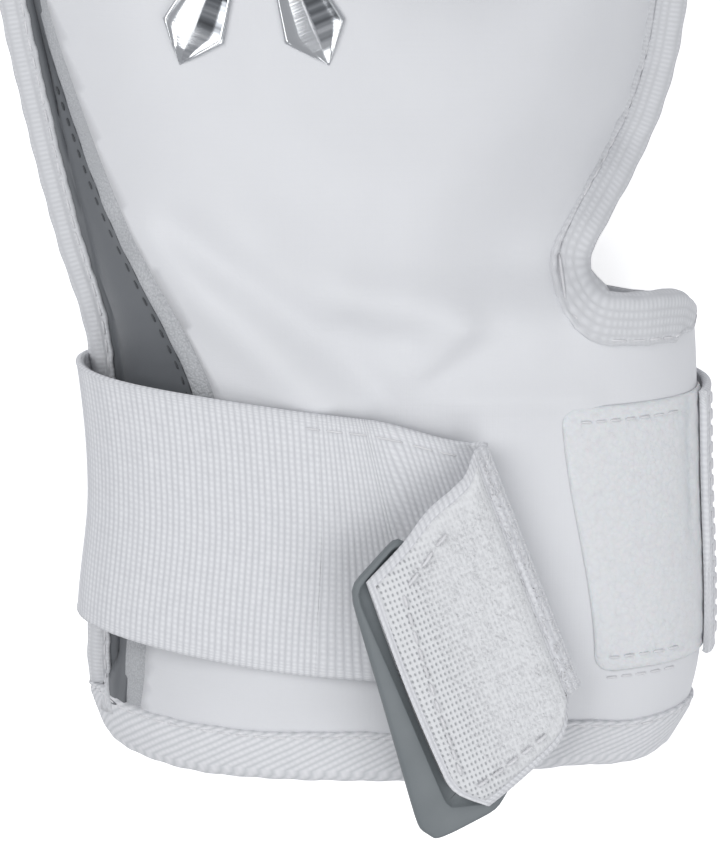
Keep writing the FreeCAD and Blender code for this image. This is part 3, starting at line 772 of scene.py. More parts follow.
# ---- the form of the mitt -----------------------------------------------------------
@dataclass
class MittForm:
    """Outer form that every panel is cut to: seam line, padded back, palm and cuff.

    Surfaces take w, a distance across the mitt measured over the cloth, and a station.
    """

    length: float = 286.0
    tape_width: float = 8.0
    panel_half: float = 1.9
    back_reach: float = 36.0
    palm_reach: float = 18.0
    cuff_mid: float = 23.0
    cuff_top: float = 27.0
    cuff_bottom: float = 20.5
    cuff_power: float = 2.5
    cuff_half: float = 60.0
    wrist_from: float = 91.0
    wrist_run: float = 15.0
    edge: tuple[tuple[float, float], ...] = (
        (-52.6, 0.0), (-56.0, 12.0), (-55.4, 30.0), (-52.9, 55.0), (-55.0, 84.0), (-60.8, 104.0),
        (-67.2, 130.0), (-72.0, 156.0), (-72.6, 185.0), (-71.2, 215.0), (-66.7, 243.0),
        (-56.0, 266.0), (-41.0, 281.0), (-23.5, 286.0), (-6.0, 281.0), (9.0, 266.0),
        (18.5, 244.0), (22.5, 218.0), (23.5, 195.0), (25.0, 181.0), (28.0, 176.5), (31.0, 181.0),
        (33.0, 196.0), (37.0, 210.5), (44.0, 220.5), (53.0, 224.0), (62.0, 219.5), (68.0, 207.0),
        (69.8, 192.0), (68.8, 176.0), (66.6, 164.0), (64.8, 152.0), (62.8, 139.0), (59.2, 127.0),
        (54.2, 117.0), (48.8, 109.4), (45.0, 103.4), (46.6, 99.4), (52.0, 98.2), (60.0, 97.8),
        (64.4, 97.0), (66.4, 94.6))
    side_points: int = 280
    left_side: tuple[tuple[float, float], ...] = (
        (0, -52.6), (12, -56.0), (30, -55.4), (55, -52.9), (84, -55.0), (104, -60.8))
    right_side: tuple[tuple[float, float], ...] = (
        (0, 62.6), (10, 67.4), (25, 69.4), (60, 67.8), (86, 66.6), (104, 64.4))
    gusset_line: tuple[tuple[float, float], ...] = (
        (-4.0, -50.5), (14.0, -48.0), (27.0, -46.5), (50.0, -37.0), (74.0, -32.0), (88.0, -37.0),
        (109.0, -48.8), (130.0, -57.0), (152.0, -63.8), (175.0, -67.6), (190.0, -70.8))
    # Creases of the back at the wrist: points (x, station), width, height.
    creases: tuple[tuple[tuple[tuple[float, float], ...], float, float], ...] = (
        (((-35.0, 110.0), (-26.0, 103.5), (-14.0, 95.5), (-3.0, 87.0), (4.0, 80.0)), 4.4, -2.3),
        (((-41.0, 108.0), (-31.0, 98.5), (-20.0, 89.0), (-8.0, 78.0)), 5.0, 2.3),
        (((-1.0, 99.0), (8.0, 98.0), (18.0, 95.0)), 4.4, 1.7),
        (((-2.0, 92.5), (3.0, 90.0), (9.0, 89.0)), 3.2, -1.5),
        (((20.0, 93.0), (14.0, 87.0), (7.0, 81.5), (1.0, 77.0)), 3.4, 1.5),
        (((12.0, 80.0), (18.0, 84.0), (27.0, 88.5)), 4.4, -1.3),
        (((30.0, 101.0), (36.0, 95.0), (40.0, 88.0)), 6.0, -0.9),
        (((-36.0, 124.0), (-20.0, 118.0), (0.0, 114.0)), 9.0, -0.7),
        (((10.0, 79.0), (28.0, 78.4), (44.0, 78.0)), 2.4, 0.9))

    def __post_init__(self) -> None:
        """Samples the edge and the tables that the surfaces read."""
        self.rim = path_through(self.edge, 1.0)
        run = unit(np.gradient(self.rim, axis=0))
        self.inward = np.stack([run[:, 1], -run[:, 0]], axis=1)
        turn = np.radians(np.linspace(0, 90, 181))
        self.arc_x = np.abs(np.sin(turn)) ** (2 / self.cuff_power)
        self.arc_z = np.abs(np.cos(turn)) ** (2 / self.cuff_power)

    def depth(self, x: Array, s: Array) -> Array:
        """Smoothed distance in plan from the outer edge."""
        p = np.stack([x, s], axis=-1).reshape(-1, 2)
        power, least, out = 7.0, 0.4, np.empty(len(p))
        full = math.sqrt(math.pi) * math.gamma((power - 1) / 2) / math.gamma(power / 2)
        for k in range(0, len(p), BLOCK):
            gap = np.linalg.norm(p[k:k + BLOCK, None] - self.rim[None], axis=2)
            near = (np.maximum(gap, least) ** -power).sum(axis=1) / full
            out[k:k + BLOCK] = near ** (-1 / (power - 1))
        return out.reshape(np.shape(x))

    def sides(self, s: Array) -> tuple[Array, Array]:
        """Left and right of the cuff at a station."""
        return curve_through(self.left_side, s), curve_through(self.right_side, s)

    def middle(self, s: Array) -> tuple[Array, Array]:
        """Middle and half of the cuff's width at a station."""
        left, right = self.sides(s)
        return (left + right) / 2, (right - left) / 2

    def share_across(self, x: Array, s: Array) -> Array:
        """Place across the cuff, from -1 at the left to 1 at the right."""
        mid, half = self.middle(s)
        return np.clip((x - mid) / half, -1, 1)

    def on_hand(self, s: Array) -> Array:
        """Share of the hand's form at a station, 0 on the cuff."""
        return ease((s - self.wrist_from) / self.wrist_run)

    def edge_x(self, s: Array) -> Array:
        """x of the little-finger edge at a station."""
        return np.interp(s, self.rim[:self.side_points, 1], self.rim[:self.side_points, 0])

    def on_lip(self, x: Array, s: Array) -> Array:
        """Share of the wrist notch's lip, 0 away from it."""
        return ease((x - 43.0) / 5.0) * ease((106.0 - s) / 6.0)

    def seam(self, x: Array, s: Array) -> Array:
        """Height of the seam that joins back and palm; it climbs over the wrist notch."""
        level = curve_through([(90, 18.0), (115, 15.5), (140, 13.0), (self.length, 12.0)], s)
        level = level + 17.0 * ease((126.0 - s) / 22.0) * ease((x - 8.0) / 32.0)
        lip = np.maximum(self.cuff_section(x, s, True) - 3.4, 19.0)
        return level + (lip - level) * self.on_lip(x, s)

    def rise(self, depth: Array, reach: float, power: float = 0.8) -> Array:
        """0 to 1 over the rounded shoulder inside the binding."""
        t = np.clip((depth - self.tape_width + 0.8) / reach, 0, 1)
        return (1 - (1 - t) ** 2) ** power

    def crown(self, s: Array) -> Array:
        """Height of the padded back along its middle."""
        return curve_through([(95, 50.0), (125, 44.5), (160, 39.5), (210, 35.0), (self.length, 28.0)], s)

    def cuff_section(self, x: Array, s: Array, back: bool) -> Array:
        """Height of the cuff's rounded section at x, on the back or the palm."""
        c = np.abs(self.share_across(x, s))
        tall = self.cuff_top if back else -self.cuff_bottom
        return self.cuff_mid + tall * (1 - c ** self.cuff_power) ** (1 / self.cuff_power)

    def hem_lift(self, x: Array, s: Array) -> Array:
        """How much further along the sides of the hem are cut than its middle."""
        c = np.abs(self.share_across(x, s))
        corner = (1.5 * ease((x - 5.0) / 30.0) - 1.9 * ease((x - 42.0) / 16.0)
                  - 0.5 * ease((-20.0 - x) / 16.0))
        return (2.0 + corner + 0.8 * c ** 2.6) * (1 - ease(s / 40.0))

    def across(self, w: Array, s: Array, back: bool) -> tuple[Array, Array]:
        """Turns a distance over the cloth into x and the cuff's height there.

        Args:
            w: Distance over the cloth, equal to x left of the cuff's middle.
            s: Stations.
            back: Whether it is the back or the palm.

        Returns:
            x and the height of the cuff's section.
        """
        mid, half = self.middle(s)
        tall = self.cuff_top if back else self.cuff_bottom
        along = lengths(np.stack([self.arc_x * self.cuff_half, self.arc_z * tall], axis=1))
        bent = np.interp(w - mid, along, self.arc_x) * half
        x = np.where(w > mid, mid + bent, w)
        z = np.interp(w - mid, along, self.arc_z) * tall * (1 if back else -1) + self.cuff_mid
        return x, np.where(w > mid, z, self.cuff_section(x, s, back))

    def point(self, w: Array, s: Array, back: bool = True) -> Array:
        """Point of the outer form.

        Args:
            w: Distances over the cloth.
            s: Stations.
            back: The padded back, or the palm.

        Returns:
            Points (x, y, z) in millimetres.
        """
        w, s = np.asarray(w, float), np.asarray(s, float)
        hand = self.on_hand(s)
        cuff_x, cuff_z = self.across(w, s, back)
        x = cuff_x + (w - cuff_x) * hand
        left, _ = self.sides(s)
        seam = self.seam(x, s)
        flange = ease((x + 8.0) / -16.0)
        near = x - left + 6.4 * (1 - ease((s - 2.0) / 16.0))
        d = self.depth(x, s)
        if back:
            low = seam + self.panel_half
            hand_z = low + (self.crown(s) - low) * self.rise(d, self.back_reach)
            top = self.cuff_mid + self.cuff_top
            side_z = low + (top - low) * self.rise(near, 44.0, 0.55)
        else:
            low = seam - self.panel_half
            hand_z = np.maximum(low - (low + 0.6) * self.rise(d, self.palm_reach), 0.0)
            floor = self.cuff_mid - self.cuff_bottom
            side_z = low + (floor - low) * self.rise(near, 26.0, 0.55)
        cuff = cuff_z + (side_z - cuff_z) * flange
        z = cuff + (hand_z - cuff) * hand
        if back:
            z = z + self.wrinkle(x, s)
        y = HEM_Y + s + self.hem_lift(x, s)
        return np.stack([x, y, z], axis=-1)

    def wrinkle(self, x: Array, s: Array) -> Array:
        """Creases pressed into the back where the wrist bends."""
        total = np.zeros(np.shape(x))
        p = np.stack([x, s], axis=-1).reshape(-1, 2)
        for points, width, height in self.creases:
            line = path_through(points, 1.0)
            total += height * bell(gap_to(line, p), 0.0, width).reshape(np.shape(x))
        return total

    def normal(self, w: Array, s: Array, back: bool = True) -> Array:
        """Outward unit normals of the outer form."""
        h = 0.4
        a = self.point(w + h, s, back) - self.point(w - h, s, back)
        b = self.point(w, s + h, back) - self.point(w, s - h, back)
        n = unit(np.cross(a, b))
        return n if back else -n

    def w_of(self, x: Array, s: Array, back: bool = True) -> Array:
        """Distance over the cloth of the point at x."""
        x, s = np.atleast_1d(np.asarray(x, float)), np.atleast_1d(np.asarray(s, float))
        out = np.empty(len(x))
        table = np.linspace(-80, 100, 361)
        for k in range(len(x)):
            at = np.full(len(table), s[k])
            cuff_x, _ = self.across(table, at, back)
            row = cuff_x + (table - cuff_x) * self.on_hand(s[k])
            out[k] = np.interp(x[k], np.maximum.accumulate(row + table * 1e-6), table)
        return out

    def inset(self, distance: float, spacing: float) -> Array:
        """Edge moved inward, without the points that would fold over."""
        moved = self.rim + self.inward * distance
        return resample(moved[gap_to(self.rim, moved) > distance - 0.12], spacing)

    def gusset_edge(self, s: Array) -> Array:
        """x of the cut edge of the back panel beside the gusset."""
        return curve_through(self.gusset_line, s)


def cuff_ring(form: MittForm, angle: Array, s: Array, out: Array | float) -> Array:
    """Points round the cuff's rounded section.

    Args:
        form: The mitt's form.
        angle: Degrees round the cuff: 0 thumb side, 90 back, 180 little-finger side.
        s: Stations.
        out: Offsets along the outward normal.

    Returns:
        Points in millimetres.
    """
    mid, half = form.middle(s)
    c, q = np.cos(np.radians(angle)), np.sin(np.radians(angle))
    tall = np.where(q > 0, form.cuff_top, form.cuff_bottom)
    power = 2 / form.cuff_power
    px, pz = signed_power(c, power), signed_power(q, power)
    nx = signed_power(px, form.cuff_power - 1) / half
    nz = signed_power(pz, form.cuff_power - 1) / tall
    size = np.maximum(np.hypot(nx, nz), 1e-9)
    x = mid + half * px + out * nx / size
    z = form.cuff_mid + tall * pz + out * nz / size
    return np.stack(np.broadcast_arrays(x, HEM_Y + s, z), axis=-1)


def ring_angle(form: MittForm, x: Array, s: Array) -> Array:
    """Angle round the cuff of the point of its back at x."""
    return np.degrees(np.arccos(signed_power(form.share_across(x, s), form.cuff_power / 2)))


# ---- panels -------------------------------------------------------------------------
@dataclass
class ShellPanels:
    """The sewn shell: back, palm, side gusset with its foam edge, and the lining."""

    form: MittForm
    finishes: Finishes
    lattice: float = 2.1
    cover: float = 0.9
    tuck: float = 4.0
    foam_shows: tuple[tuple[float, float], ...] = ((60, 4.4), (100, 4.2), (130, 3.2), (155, 2.5), (190, 2.0))
    foam_drop: float = 4.3
    tape_cover: float = 6.0
    gusset_tuck: float = 4.0
    gusset_from: float = 2.5
    back_side: float = 80.5
    palm_side: float = 75.5
    hem_from: float = 3.0
    foam_end: float = 190.0
    notch_at: float = 88.0

    def edge_over_cloth(self, back: bool) -> tuple[Array, Array]:
        """The edge with x turned to distance over the cloth, and its inward normals."""
        rim = self.form.rim.copy()
        cuff = (rim[:, 0] > 20) & (rim[:, 1] < 108)
        rim[cuff, 0] = self.form.w_of(rim[cuff, 0], rim[cuff, 1], back)
        if not back:
            rim[:, 1] -= 5.5 * ease((rim[:, 0] - 42.0) / 8.0) * ease((112.0 - rim[:, 1]) / 10.0)
        rim = resample(rim, 1.0)
        run = unit(np.gradient(rim, axis=0))
        return rim, np.stack([run[:, 1], -run[:, 0]], axis=1)

    def edge_inset(self, back: bool, distance: float, spacing: float) -> Array:
        """The edge moved inward over the cloth, without points that would fold over."""
        rim, inward = self.edge_over_cloth(back)
        moved = rim + inward * distance
        return resample(moved[gap_to(rim, moved) > distance - 0.15], spacing)

    def side_w(self, back: bool) -> float:
        """Distance over the cloth to the middle of the thumb side of the cuff."""
        return self.back_side if back else self.palm_side

    def patch(self, name: str, outline: Array, back: bool) -> Piece:
        """Cuts cloth to an outline and lays it on the form.

        Args:
            name: Name of the piece.
            outline: Closed outline of (w, station).
            back: The back or the palm.

        Returns:
            The open surface.
        """
        low, high = outline.min(axis=0), outline.max(axis=0)
        step_x, step_y = self.lattice, self.lattice * 0.866
        rows = np.arange(low[1], high[1], step_y)
        column = np.arange(low[0], high[0], step_x)
        spots = np.concatenate([np.stack([column + (k % 2) * step_x / 2, np.full(len(column), s)], axis=1)
                                for k, s in enumerate(rows)])
        spots = spots[gap_to(outline, spots) > step_x * 0.55]
        every = np.vstack([outline, spots])
        count = len(outline)
        edges = [(k, (k + 1) % count) for k in range(count)]
        verts, _, faces, *_ = delaunay_2d_cdt([Vector(p) for p in every], edges, [], 1, 1e-4)
        flat = np.array([tuple(v) for v in verts])
        points = self.form.point(flat[:, 0], flat[:, 1], back)
        turn = 1 if back else -1
        return add_mesh(name, points, [tuple(f)[::turn] for f in faces], uv=flat)

    def close_outline(self, line: Array, back: bool, spacing: float) -> Array:
        """Outline that runs up a line, down the thumb side and back along the hem."""
        down = np.arange(self.notch_at, self.hem_from, -spacing)
        side = np.stack([np.full(len(down), self.side_w(back)), down], axis=1)
        hem = np.arange(self.side_w(back) - spacing, line[0, 0] + 1, -spacing)
        return np.vstack([line, side, np.stack([hem, np.full(len(hem), self.hem_from)], axis=1)])

    def back_outline(self, spacing: float = 2.0) -> Array:
        """Outline of the back panel, from the hem beside the gusset round to the thumb side."""
        rim = self.edge_inset(True, self.tuck, spacing)
        rim = rim[(rim[:, 1] > self.hem_from) & ((rim[:, 0] > 0) | (rim[:, 1] > self.foam_end))]
        up = np.arange(self.hem_from, self.foam_end, spacing)
        shows = curve_through(self.foam_shows, up)
        left = np.stack([self.form.gusset_edge(up) + shows, up], axis=1)
        return self.close_outline(np.vstack([left, rim]), True, spacing)

    def palm_outline(self, spacing: float = 2.2) -> Array:
        """Outline of the palm panel, hem to fingertips and back down the thumb side."""
        rim = self.edge_inset(False, self.tuck, spacing)
        return self.close_outline(rim[rim[:, 1] > self.hem_from], False, spacing)

    def build_back(self) -> Piece:
        """The white padded back, hem to fingertips."""
        piece = thicken(self.patch("back_panel", self.back_outline(), True), self.cover)
        self.finishes.give(piece, Slot.KNIT, ("back_shell", "cuff_back_panel", "wrist_back_flex_panel",
                                              "back_foam_pad"))
        return piece

    def build_palm(self) -> Piece:
        """The flat palm, hem to fingertips."""
        piece = thicken(self.patch("palm_panel", self.palm_outline(), False), self.cover)
        self.finishes.give(piece, Slot.PALM, ("palm_shell", "cuff_palm_panel", "wrist_palm_flex_panel",
                                              "palm_foam_pad"))
        return piece

    def strip(self, name: str, stations: Array, xs: Sequence[Array], drops: Sequence[Array | float]
              ) -> Piece:
        """Band that runs up the back, one column of points for each x and drop.

        Args:
            name: Name of the piece.
            stations: Stations of its rows.
            xs: x of each column at every station.
            drops: Depth of each column under the back's surface.

        Returns:
            The open surface.
        """
        columns = []
        for x, drop in zip(xs, drops):
            x = np.broadcast_to(x, len(stations))
            points = self.form.point(x, stations, True)
            points[:, 2] -= drop
            columns.append(points)
        grid = np.stack(columns, axis=1)
        along = np.broadcast_to(stations[:, None], grid.shape[:2])
        uv = np.stack([grid[:, :, 0], along], axis=2)
        return add_mesh(name, grid.reshape(-1, 3), [f[::-1] for f in grid_faces(*grid.shape[:2])],
                        uv.reshape(-1, 2))

    def gusset_drop(self, x: Array, s: Array) -> Array:
        """How far the gusset lies under the padded surface."""
        rim = self.form.edge_x(s) + self.tape_cover
        inward = x - rim
        room = np.maximum(self.form.gusset_edge(s) - rim, 0.5)
        return self.foam_drop * ease(inward / np.minimum(room, 13.0)) * ease(room / 4.0)

    def build_gusset(self) -> list[Piece]:
        """The grey side gusset, its two rows of stitches and the raw foam beside it."""
        s = np.arange(self.gusset_from, 168.0, 1.5)
        rim = self.form.edge_x(s) + self.gusset_tuck
        inner = np.maximum(self.form.gusset_edge(s) + 1.4, rim + 0.6)
        xs = [rim + (inner - rim) * t for t in np.linspace(0, 1, 16)]
        drops = [self.gusset_drop(x, s) + 0.5 * (1 - ease((x - rim) / 3.0)) for x in xs]
        cloth = self.strip("side_gusset_cloth", s, xs, drops)
        cloth = self.finishes.give(thicken(cloth, 0.7), Slot.GUSSET, ("side_gusset", "cuff_gusset"))
        s = np.arange(self.gusset_from, 186.0, 1.0)
        line = self.form.gusset_edge(s) + 0.12 * ripple(s[:, None], 7.0, 3)
        low = np.maximum(self.gusset_drop(line, s) - 0.1, 0.8)
        across = [line - 0.15, line - 0.1, line + 0.25, line + 1.4, line + 2.6, line + 5.4]
        foam = self.strip("raw_foam_edge", s, across, [low, 1.25, 0.75, 0.6, 0.7, 1.3])
        foam = self.finishes.give(foam, Slot.FOAM, ("cuff_foam_edge",))
        return [cloth, foam, self.gusset_stitches()]

    def gusset_stitches(self) -> Piece:
        """Two rows of dark thread that hold the foam edge to the gusset."""
        def place(at: Array, shift: float) -> Array:
            """Points on the gusset beside the cut edge of the back panel."""
            x = self.form.gusset_edge(at) + shift
            point = self.form.point(x, at, True)
            point[:, 2] -= self.gusset_drop(x, at) - 0.7
            return point

        rows = []
        for shift, lag, length in ((-0.4, 0.0, 2.6), (-1.6, 1.5, 1.7)):
            s = np.arange(8.0 + lag, 152.0, 3.0)
            keep = self.form.gusset_edge(s) + shift > self.form.edge_x(s) + 8.0
            rows.append((partial(place, shift=shift), s[keep], length))
        thread = stitches("gusset_thread", rows, 0.3, bow=(0.0, 0.0, 0.25))
        return self.finishes.give(thread, Slot.DARK_THREAD, ("gusset_stitching",))

    def build_lining(self) -> Piece:
        """Brushed lining of the hand, open towards the cuff."""
        sides = []
        for back in (True, False):
            rim = self.form.inset(13.0, 3.0)
            rim = rim[(rim[:, 1] > 96.0) & ((rim[:, 0] < 37.0) | (rim[:, 1] > 128.0))]
            rim = rim[: int(np.argmax(rim[:, 0] > 30)) + 400]
            low = np.arange(rim[-1, 0] - 3, rim[0, 0] + 1, -3.0)
            outline = np.vstack([rim, np.stack([low, np.full(len(low), 94.0)], axis=1)])
            cloth = self.patch("lining", outline, back)
            co = np.array([v.co for v in cloth.data.vertices]) / MM
            depth = self.form.depth(co[:, 0], co[:, 1] - HEM_Y)
            seam = self.form.seam(co[:, 0], co[:, 1] - HEM_Y)
            shift = -7.1 if back else 8.0
            inner = co[:, 2] + shift + 0.5 * ripple(co[:, :2], 26.0, 8)
            mix = ease((depth - 12.0) / 5.0)
            co[:, 2] = seam + (inner - seam) * mix
            for v, p in zip(cloth.data.vertices, co * MM):
                v.co = p
            cloth.data.flip_normals()
            sides.append(cloth)
        piece = join("hand_lining", sides)
        return self.finishes.give(piece, Slot.LINING, ("back_lining", "palm_lining"))


# ---- bindings -----------------------------------------------------------------------
@dataclass
class Bindings:
    """Folded woven tapes sewn over the raw edges of the shell, and the lining of the cuff."""

    form: MittForm
    panels: ShellPanels
    finishes: Finishes
    lift: float = 0.95
    wall: float = 5.4
    pitch: float = 3.6
    groove: float = 0.3
    palm_leg: float = 6.5
    seam_in: float = 1.05
    thread: float = 0.27
    stitch_share: float = 0.74
    hem_width: float = 11.2
    hem_samples: int = 260
    hem_below: float = 1.5
    cuff_x: float = 5.0
    sleeve_samples: int = 160

    def fold(self, name: str, outer: Side, inner: Side, width: Array, along: Array, radius: float,
             inner_width: float = 6.0) -> Piece:
        """Tape folded over an edge.

        Args:
            name: Name of the piece.
            outer: Gives the outer cloth surface and its normals at a depth below the edge.
            inner: The same for the other face of the edge.
            width: Width of the outer leg at each sample.
            along: Distance of each sample along the edge.
            radius: Depth of the rounded fold.
            inner_width: Width of the inner leg.

        Returns:
            The closed tape.
        """
        beat = 2 * math.pi * along / self.pitch
        swing = 0.06 * np.sin(beat) + 0.12 * ripple(along[:, None], 9.0, 5)
        pucker = 0.03 * np.cos(beat) + 0.1 * ripple(along[:, None], 13.0, 6)
        rows, spots = [], []

        def leg(side: Side, reach: Array, inward: bool) -> None:
            """Adds one leg, from its sewn edge towards the fold or back."""
            steps = [(0.0, -1.3), (0.0, self.lift * 0.7), (0.3, self.lift + 0.04), (0.65, self.lift),
                     (1.05, self.lift - self.groove), (1.5, self.lift - 0.04), (2.3, self.lift + 0.1)]
            made = []
            for back, height in steps:
                depth = np.maximum(reach - back, radius)
                made.append((depth, height + pucker * (1.0 if height > 0.6 else 0.3)))
            for t in (0.5, 1.0):
                depth = radius + (np.maximum(reach - 2.3, radius) - radius) * (1 - t)
                made.append((depth, self.lift + 0.1 * (1 - t) + pucker))
            for depth, height in made if inward else made[::-1]:
                point, normal = side(depth)
                rows.append(point + normal * np.asarray(height)[:, None])
                spots.append(depth * (1 if inward else -1))

        leg(outer, width + swing, True)
        top, deeper = rows[-1], outer(np.full(len(width), radius + 1.0))[0]
        bottom_point, bottom_normal = inner(np.full(len(width), radius))
        bottom = bottom_point + bottom_normal * self.lift
        out = unit(outer(np.full(len(width), radius))[0] - deeper)
        centre, half = (top + bottom) / 2, (top - bottom) / 2
        for turn in np.linspace(0, math.pi, 10)[1:-1]:
            swell = 1 + 0.03 * np.sin(beat * 0.5 + turn * 3)[:, None]
            rows.append(centre + half * math.cos(turn) * swell + out * (radius * math.sin(turn)) * swell)
            spots.append(np.full(len(width), radius * math.cos(turn)))
        leg(inner, np.full(len(width), inner_width) + swing, False)
        rings = np.stack(rows, axis=1)
        uv = np.stack([np.broadcast_to(along[:, None], rings.shape[:2]), np.stack(spots, axis=1)], axis=2)
        return loop_band(name, rings[:, ::-1], uv[:, ::-1])

    def cloth_at(self, at: Array, back: bool) -> tuple[Array, Array]:
        """Points and outward normals of the form at places (w, station)."""
        return self.form.point(at[:, 0], at[:, 1], back), self.form.normal(at[:, 0], at[:, 1], back)

    def seam_thread(self, name: str, side: Side, depth: Array, along: Array) -> Piece:
        """Row of stitches sunk in a tape's groove."""
        count = int(along[-1] / self.pitch) - 1
        begin = np.arange(count) * self.pitch + 1.0

        def read(at: Array) -> Array:
            """Points of the seam at distances along the edge."""
            point, normal = side(depth)
            line = point + normal * (self.lift - self.groove + 0.12)
            return np.stack([np.interp(at, along, line[:, k]) for k in range(3)], axis=1)

        return rods(name, read(begin), read(begin + self.pitch * self.stitch_share), self.thread)

    def mitt_tape(self) -> list[Piece]:
        """The tape round the little-finger side, fingers, thumb and wrist notch."""
        rim, inward = self.panels.edge_over_cloth(True)
        keep = rim[:, 1] > 4.0
        rim, inward = rim[keep], inward[keep]
        along = lengths(rim)
        lip = self.form.on_lip(rim[:, 0], rim[:, 1])
        left = curve_through([(0, 5.0), (60, 4.6), (96, 5.4), (150, 5.8), (286, 6.6)], rim[:, 1])
        width = left + (7.7 - left) * ease((rim[:, 0] - 5.0) / 40.0) + 2.6 * lip
        to_end = along[-1] - along
        width = 4.4 + (width - 4.4) * np.sqrt(np.clip(to_end / 9.0, 0, 1))

        def outer(depth: Array) -> tuple[Array, Array]:
            """Back surface at a depth below the edge."""
            return self.cloth_at(rim + inward * depth[:, None], True)

        def inner(depth: Array) -> tuple[Array, Array]:
            """Palm surface below the edge, or the inside of the wall on the notch's lip."""
            top, normal = outer(depth)
            palm, palm_normal = self.cloth_at(rim + inward * depth[:, None], False)
            mix = lip[:, None]
            point = palm + (top - normal * self.wall - palm) * mix
            return point, unit(palm_normal * (1 - mix) - normal * mix)

        tape = self.fold("edge_tape", outer, inner, width, along, 2.9, self.palm_leg)
        palm_depth = np.full(len(width), self.palm_leg - self.seam_in)
        self.finishes.give(tape, Slot.TAPE, ("edge_binding", "notch_lip_binding"))
        threads = [self.seam_thread("edge_thread_back", outer, width - self.seam_in, along),
                   self.seam_thread("edge_thread_palm", inner, palm_depth, along)]
        thread = self.finishes.give(join("edge_tape_thread", threads), Slot.THREAD)
        return [tape, thread]

    def palm_lip_tape(self) -> Piece:
        """The tape on the palm side of the wrist notch."""
        rim, inward = self.panels.edge_over_cloth(False)
        lip = (rim[:, 0] > 44.0) & (rim[:, 1] < 102.0)
        rim, inward = rim[lip], inward[lip]
        along = lengths(rim)

        def outer(depth: Array) -> tuple[Array, Array]:
            """Palm surface at a depth below the edge."""
            return self.cloth_at(rim + inward * depth[:, None], False)

        def inner(depth: Array) -> tuple[Array, Array]:
            """Inside of the palm's wall."""
            point, normal = outer(depth)
            return point - normal * (self.wall - 1.0), -normal

        width = 4.0 + 4.0 * np.sqrt(np.clip((along[-1] - along) / 8.0, 0, 1))
        tape = self.fold("palm_notch_tape", outer, inner, width, along, 2.6)
        return self.finishes.give(tape, Slot.TAPE)

    def cuff_loop(self, s: Array) -> tuple[Array, Array]:
        """Section of the cuff, all the way round.

        Args:
            s: Station of each of its samples.

        Returns:
            Points and outward normals, starting at the little-finger seam over the back.
        """
        half = len(s) // 2
        rim = self.form.edge_x(s)
        t = np.linspace(0, 1, half)
        back_w = rim[:half] + (self.panels.side_w(True) - rim[:half]) * t
        palm_w = self.panels.side_w(False) + (rim[half:] - self.panels.side_w(False)) * t
        points = np.vstack([self.form.point(back_w, s[:half], True),
                            self.form.point(palm_w, s[half:], False)])
        for _ in range(4):
            blurred = (np.roll(points, 1, axis=0) + np.roll(points, -1, axis=0)) / 2
            points[:, [0, 2]] = (points[:, [0, 2]] + blurred[:, [0, 2]]) / 2
        run = np.roll(points, -1, axis=0) - np.roll(points, 1, axis=0)
        normal = unit(np.stack([-run[:, 2], np.zeros(len(s)), run[:, 0]], axis=1))
        return points, normal

    def inside(self, points: Array, gap: float) -> Array:
        """Points of the cuff moved through its wall to the inner face."""
        moved, form = points.copy(), self.form
        x, z = points[:, 0] - self.cuff_x, points[:, 2] - form.cuff_mid
        tall = np.where(z > 0, form.cuff_top, form.cuff_bottom)
        moved[:, 0] = self.cuff_x + x * (form.cuff_half - gap) / form.cuff_half
        moved[:, 2] = form.cuff_mid + z * ((tall - gap) / tall)
        return moved

    def hem_tape(self) -> list[Piece]:
        """The wide twill tape round the hem, and its stitches."""
        start, _ = self.cuff_loop(np.full(self.hem_samples, 4.0))
        along = lengths(start)
        span = along[-1] + np.linalg.norm(start[0] - start[-1])
        along = along * (round(span / self.pitch) * self.pitch / span)

        def outer(depth: Array) -> tuple[Array, Array]:
            """Outer face of the cuff above the hem."""
            return self.cuff_loop(depth - self.hem_below)

        def inner(depth: Array) -> tuple[Array, Array]:
            """Inner face of the cuff above the hem."""
            points, normal = self.cuff_loop(depth - self.hem_below)
            return self.inside(points, 5.2), -normal

        width = self.hem_width + 0.35 * ripple(along[:, None], 40.0, 4)
        tape = self.close_loop(self.fold("hem_tape", outer, inner, width, along, 3.0, 8.0))
        self.finishes.give(tape, Slot.TAPE, ("hem_binding",), "hem")
        thread = self.seam_thread("hem_tape_thread", outer, width - self.seam_in, along)
        return [tape, self.finishes.give(thread, Slot.THREAD)]

    def close_loop(self, obj: Piece) -> Piece:
        """Joins the last ring of a tape to its first."""
        mesh = obj.data
        work = bmesh.new()
        work.from_mesh(mesh)
        caps = [f for f in work.faces if len(f.verts) > 4]
        first, last = (sorted(f.verts, key=lambda v: v.index) for f in caps[:2])
        size = len(first)
        bmesh.ops.delete(work, geom=caps, context="FACES_ONLY")
        cloth = work.loops.layers.uv.active
        for j in range(size):
            k = (j + 1) % size
            face = work.faces.new((last[j], last[k], first[k], first[j]))
            face.smooth = True
            for loop in face.loops:
                other = next(near for near in loop.vert.link_loops if near is not loop)
                loop[cloth].uv = other[cloth].uv
        bmesh.ops.recalc_face_normals(work, faces=work.faces)
        work.to_mesh(mesh)
        work.free()
        return obj

    def cuff_sleeve(self) -> Piece:
        """Brushed lining inside the cuff."""
        rows = []
        for s in np.linspace(0.5, 87.5, 40):
            points, _ = self.cuff_loop(np.full(self.sleeve_samples, s))
            free = ease((s - 7.0) / 5.0)
            inner = self.inside(points, 4.9 + 1.4 * free)
            inner[:, 2] += 0.35 * free * ripple(inner[:, :2], 22.0, 9)
            rows.append(inner)
        grid = np.stack(rows)
        sleeve = add_mesh("cuff_sleeve", grid.reshape(-1, 3), grid_faces(*grid.shape[:2], wrap=True))
        return self.finishes.give(thicken(sleeve, -0.8), Slot.LINING, ("cuff_lining",))


